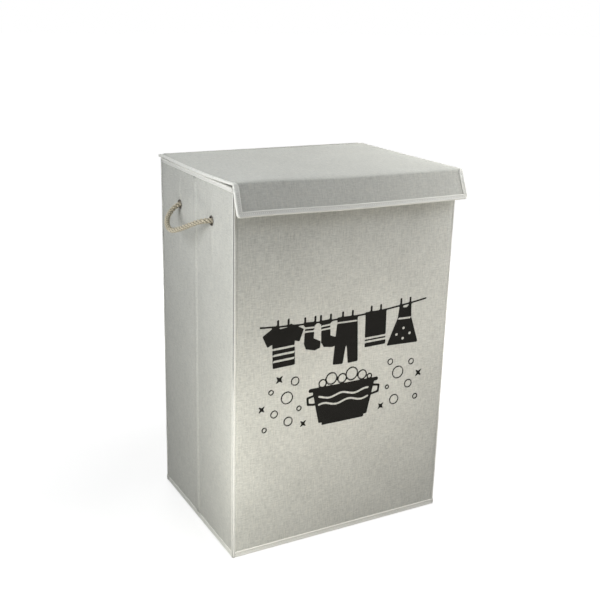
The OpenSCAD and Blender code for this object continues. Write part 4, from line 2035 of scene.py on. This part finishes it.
@dataclass
class Studio:
    """The camera, the lamps, the pale floor and the white behind it."""

    eye: Point = (-0.7456, -1.3425, 0.8576)
    azimuth: float = -28.903
    elevation: float = 17.730
    roll: float = 1.440
    lens: float = 56.50
    world: float = 0.05
    lamps: tuple[Softbox, ...] = (
        Softbox("low_left", (-0.40, -0.34, 0.180), (-0.12, -0.14, 0.195), 0.14, 0.94, (1.0, 0.985, 0.915)),
        Softbox("front", (-0.01, -0.42, 0.27), (-0.01, -0.14, 0.28), 0.16, 0.40, (1.0, 0.94, 0.85)),
        Softbox("front_right", (0.42, -0.46, 0.37), (0.13, -0.14, 0.40), 0.22, 0.82, (1.0, 0.965, 0.91)),
        Softbox("left", (-0.75, -0.16, 0.74), (-0.2, -0.10, 0.44), 0.45, 3.16, (0.955, 0.97, 1.0)),
        Softbox("left_near", (-0.400, -0.17, 0.55), (-0.196, -0.15, 0.53), 0.12, 0.12, (1.0, 0.985, 0.95)),
        Softbox("right_near", (0.34, -0.42, 0.66), (0.16, -0.17, 0.585), 0.12, 0.115, (1.0, 0.985, 0.95)),
        Softbox("high_left", (-0.50, 0.10, 2.10), (0, 0, 0.3), 0.9, 4.95, (0.95, 1.0, 0.965)),
        Softbox("high_front", (0.70, -1.00, 1.50), (0, 0, 0.3), 0.6, 6.5, (0.90, 0.925, 1.0)),
        Softbox("high_right", (0.68, -0.12, 0.95), (0, 0, 0.4), 0.5, 5.2, (1.0, 0.99, 0.96)),
        Softbox("rear", (0.30, 1.60, 0.90), (0, 0, 0.3), 0.8, 13.0),
    )

    def camera(self) -> None:
        """Places the camera."""
        az, el, roll = (math.radians(a) for a in (self.azimuth, self.elevation, self.roll))
        back = Vector((math.sin(az) * math.cos(el), -math.cos(az) * math.cos(el), math.sin(el)))
        right = (-back).cross(Vector((0, 0, 1))).normalized()
        up = right.cross(-back)
        across = right * math.cos(roll) + up * math.sin(roll)
        above = up * math.cos(roll) - right * math.sin(roll)
        turn = Matrix((across, above, back)).transposed().to_4x4()
        data = bpy.data.cameras.new("camera")
        data.lens, data.sensor_width, data.clip_start = self.lens, 36.0, 0.01
        obj = link("camera", data)
        obj.matrix_world = Matrix.Translation(self.eye) @ turn
        bpy.context.scene.camera = obj

    def white(self) -> None:
        """Lights the scene from all round, and shows white behind it."""
        world = bpy.data.worlds.new("studio")
        bpy.context.scene.world = world
        world.use_nodes = True
        tree = world.node_tree
        tree.nodes.clear()
        path = add_node(tree, "LightPath").outputs
        seen = add_node(tree, "Math", {0: path["Is Camera Ray"], 1: path["Is Glossy Ray"]},
                        operation="MAXIMUM")
        clear = add_node(tree, "Math", {0: seen.outputs[0], 1: path["Is Transmission Ray"]},
                         operation="MAXIMUM")
        soft = add_node(tree, "Background", {0: (1, 1, 1, 1), 1: self.world})
        bright = add_node(tree, "Background", {0: (1, 1, 1, 1), 1: 1.0})
        mix = add_node(tree, "MixShader", {0: clear.outputs[0], 1: soft.outputs[0], 2: bright.outputs[0]})
        add_node(tree, "OutputWorld", {0: mix.outputs[0]})

    def floor(self) -> None:
        """Lays a pale floor, white to the camera where no shadow falls."""
        bm = bmesh.new()
        bmesh.ops.create_grid(bm, x_segments=2, y_segments=2, size=20.0)
        bmesh.ops.translate(bm, verts=bm.verts, vec=(0, 0, -0.0008))
        mesh = bpy.data.meshes.new("floor")
        bm.to_mesh(mesh)
        bm.free()
        obj = link("floor", mesh)
        n = Nodes("floor_paint")
        n.fixed({"Roughness": 1.0, "Specular IOR Level": 0.0})
        where = n.add("TexCoord").outputs["Object"]
        pale = n.ramp(n.noise(where, 3.0), 0.3, 0.7, 0.36, 0.38)
        n.tree.links.new(n.grey(pale), n.shader.inputs["Base Color"])
        path = n.add("LightPath")
        away = n.add("VectorMath", {0: where}, operation="LENGTH").outputs["Value"]
        glow = n.add("Emission", {"Color": (1, 1, 1, 1), "Strength": n.ramp(away, 0.35, 1.0, 0.70, 1.0)})
        seen = n.maths("MAXIMUM", path.outputs["Is Camera Ray"], path.outputs["Is Glossy Ray"])
        both = n.add("AddShader", {0: n.shader.outputs[0], 1: glow.outputs[0]})
        mix = n.add("MixShader", {0: seen, 1: n.shader.outputs[0], 2: both.outputs[0]})
        out = next(node for node in n.tree.nodes if node.type == "OUTPUT_MATERIAL")
        n.tree.links.new(mix.outputs[0], out.inputs[0])
        mesh.materials.append(n.material)

    def build(self) -> None:
        """Sets the whole studio up."""
        self.camera()
        self.white()
        for lamp in self.lamps:
            lamp.build()
        self.floor()


# ---------------------------------------------------------------- the whole hamper


@dataclass
class Walls:
    """The four walls, each side one in two halves, with their tapes and seams."""

    handles: tuple[RopeHandle, RopeHandle]
    ink: WashDayPrint = field(default_factory=WashDayPrint)
    sizes: HamperSizes = SIZES

    def ends(self) -> None:
        """Makes the front and the back wall."""
        s = self.sizes
        fine = {"finish": PRINTED, "columns": self.ink.columns(), "rows": self.ink.rows()}
        for name, body, seed, own in (("front", Body.FRONT, 1.0, fine), ("back", Body.BACK, 2.0, {})):
            panel = WallPanel(name, name, body, -s.half_w, s.half_w, seed=seed, **own)
            cloth = panel.cover()
            if own:
                self.ink.lay(cloth)
            panel.lining()
            for part, edge in (("rim", s.height), ("bottom", 0.0)):
                tape = EdgeTape(f"{name}_{part}_tape", name, edge, -s.half_w, s.half_w)
                tape.build([f"{name}_{part}_binding"], body)

    def sides(self) -> None:
        """Makes the two side walls."""
        s = self.sizes
        for handle in self.handles:
            word, rings = handle.word, handle.eyelets()
            for half, body, way in (("rear", handle.rear, 1), ("front", handle.front, -1)):
                near = handle.side * (s.crease_y + way * s.turn_gap)
                low, high = sorted((near, handle.side * way * s.side_end))
                panel = WallPanel(f"{word}_{half}", word, body, low, high, near, (rings[half],),
                                  seed=3.0 + way + 4 * handle.side, pitch=0.0035)
                panel.cover()
                panel.lining()
            x, y = handle.side * s.half_w, s.crease_y
            start, end = (x, y + s.crease_soft, s.mid), (x, y - s.crease_soft, s.mid)
            for part, edge in (("rim", s.height), ("bottom", 0.0)):
                tape = EdgeTape(f"{word}_{part}_tape", word, edge, -s.side_end, s.side_end, capped=False)
                tape.build([f"{word}_{half}_{part}_binding" for half in ("rear", "front")], handle.rear,
                           handle.front, start=start, end=end)
            CreaseCloth(f"{word}_crease_cloth", handle.side).build(handle.rear, handle.front)

    def corners(self) -> None:
        """Makes the four corner seams, of which all but one cross their corner's joint."""
        for name, side, front, wide, *bodies in (
                ("front_left", -1, -1, True, Body.LEFT_FRONT, Body.FRONT),
                ("front_right", 1, -1, False, Body.FRONT),
                ("rear_left", -1, 1, True, Body.BACK, Body.LEFT_REAR),
                ("rear_right", 1, 1, True, Body.BACK, Body.RIGHT_REAR)):
            CornerTape(name + "_seam", side, front, wide).build([name + "_corner_seam"], *bodies)

    def boards(self) -> None:
        """Gives the boards inside the cloth their card."""
        for name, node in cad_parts.items():
            if name.endswith("_board") and name != "flap_board":
                node.data.materials.clear()
                node.data.materials.append(FINISHES.of(CARD))


def main() -> None:
    """Builds the studio and the hamper, and sets the plain view transform."""
    Studio().build()
    handles = (RopeHandle(-1, Body.LEFT_HANDLE, Body.LEFT_REAR, Body.LEFT_FRONT),
               RopeHandle(1, Body.RIGHT_HANDLE, Body.RIGHT_REAR, Body.RIGHT_FRONT))
    for handle in handles:
        handle.build()
        LOG.info("%s handle built", handle.word)
    walls = Walls(handles)
    for step in (walls.ends, walls.sides, walls.corners, walls.boards):
        step()
        LOG.info("walls: %s done", step.__name__)
    lid = Lid()
    for step in (lid.cloth, lid.lining, lid.tapes, lid.fold_tapes, lid.flap_layers, lid.hinge_strip):
        step()
        LOG.info("lid: %s done", step.__name__)
    BasePanel().build()
    LOG.info("base panel built")
    bpy.context.scene.view_settings.view_transform = "Standard"


if __name__ == "__main__":
    logging.basicConfig(level=logging.INFO, format="%(name)s %(message)s")
    main()
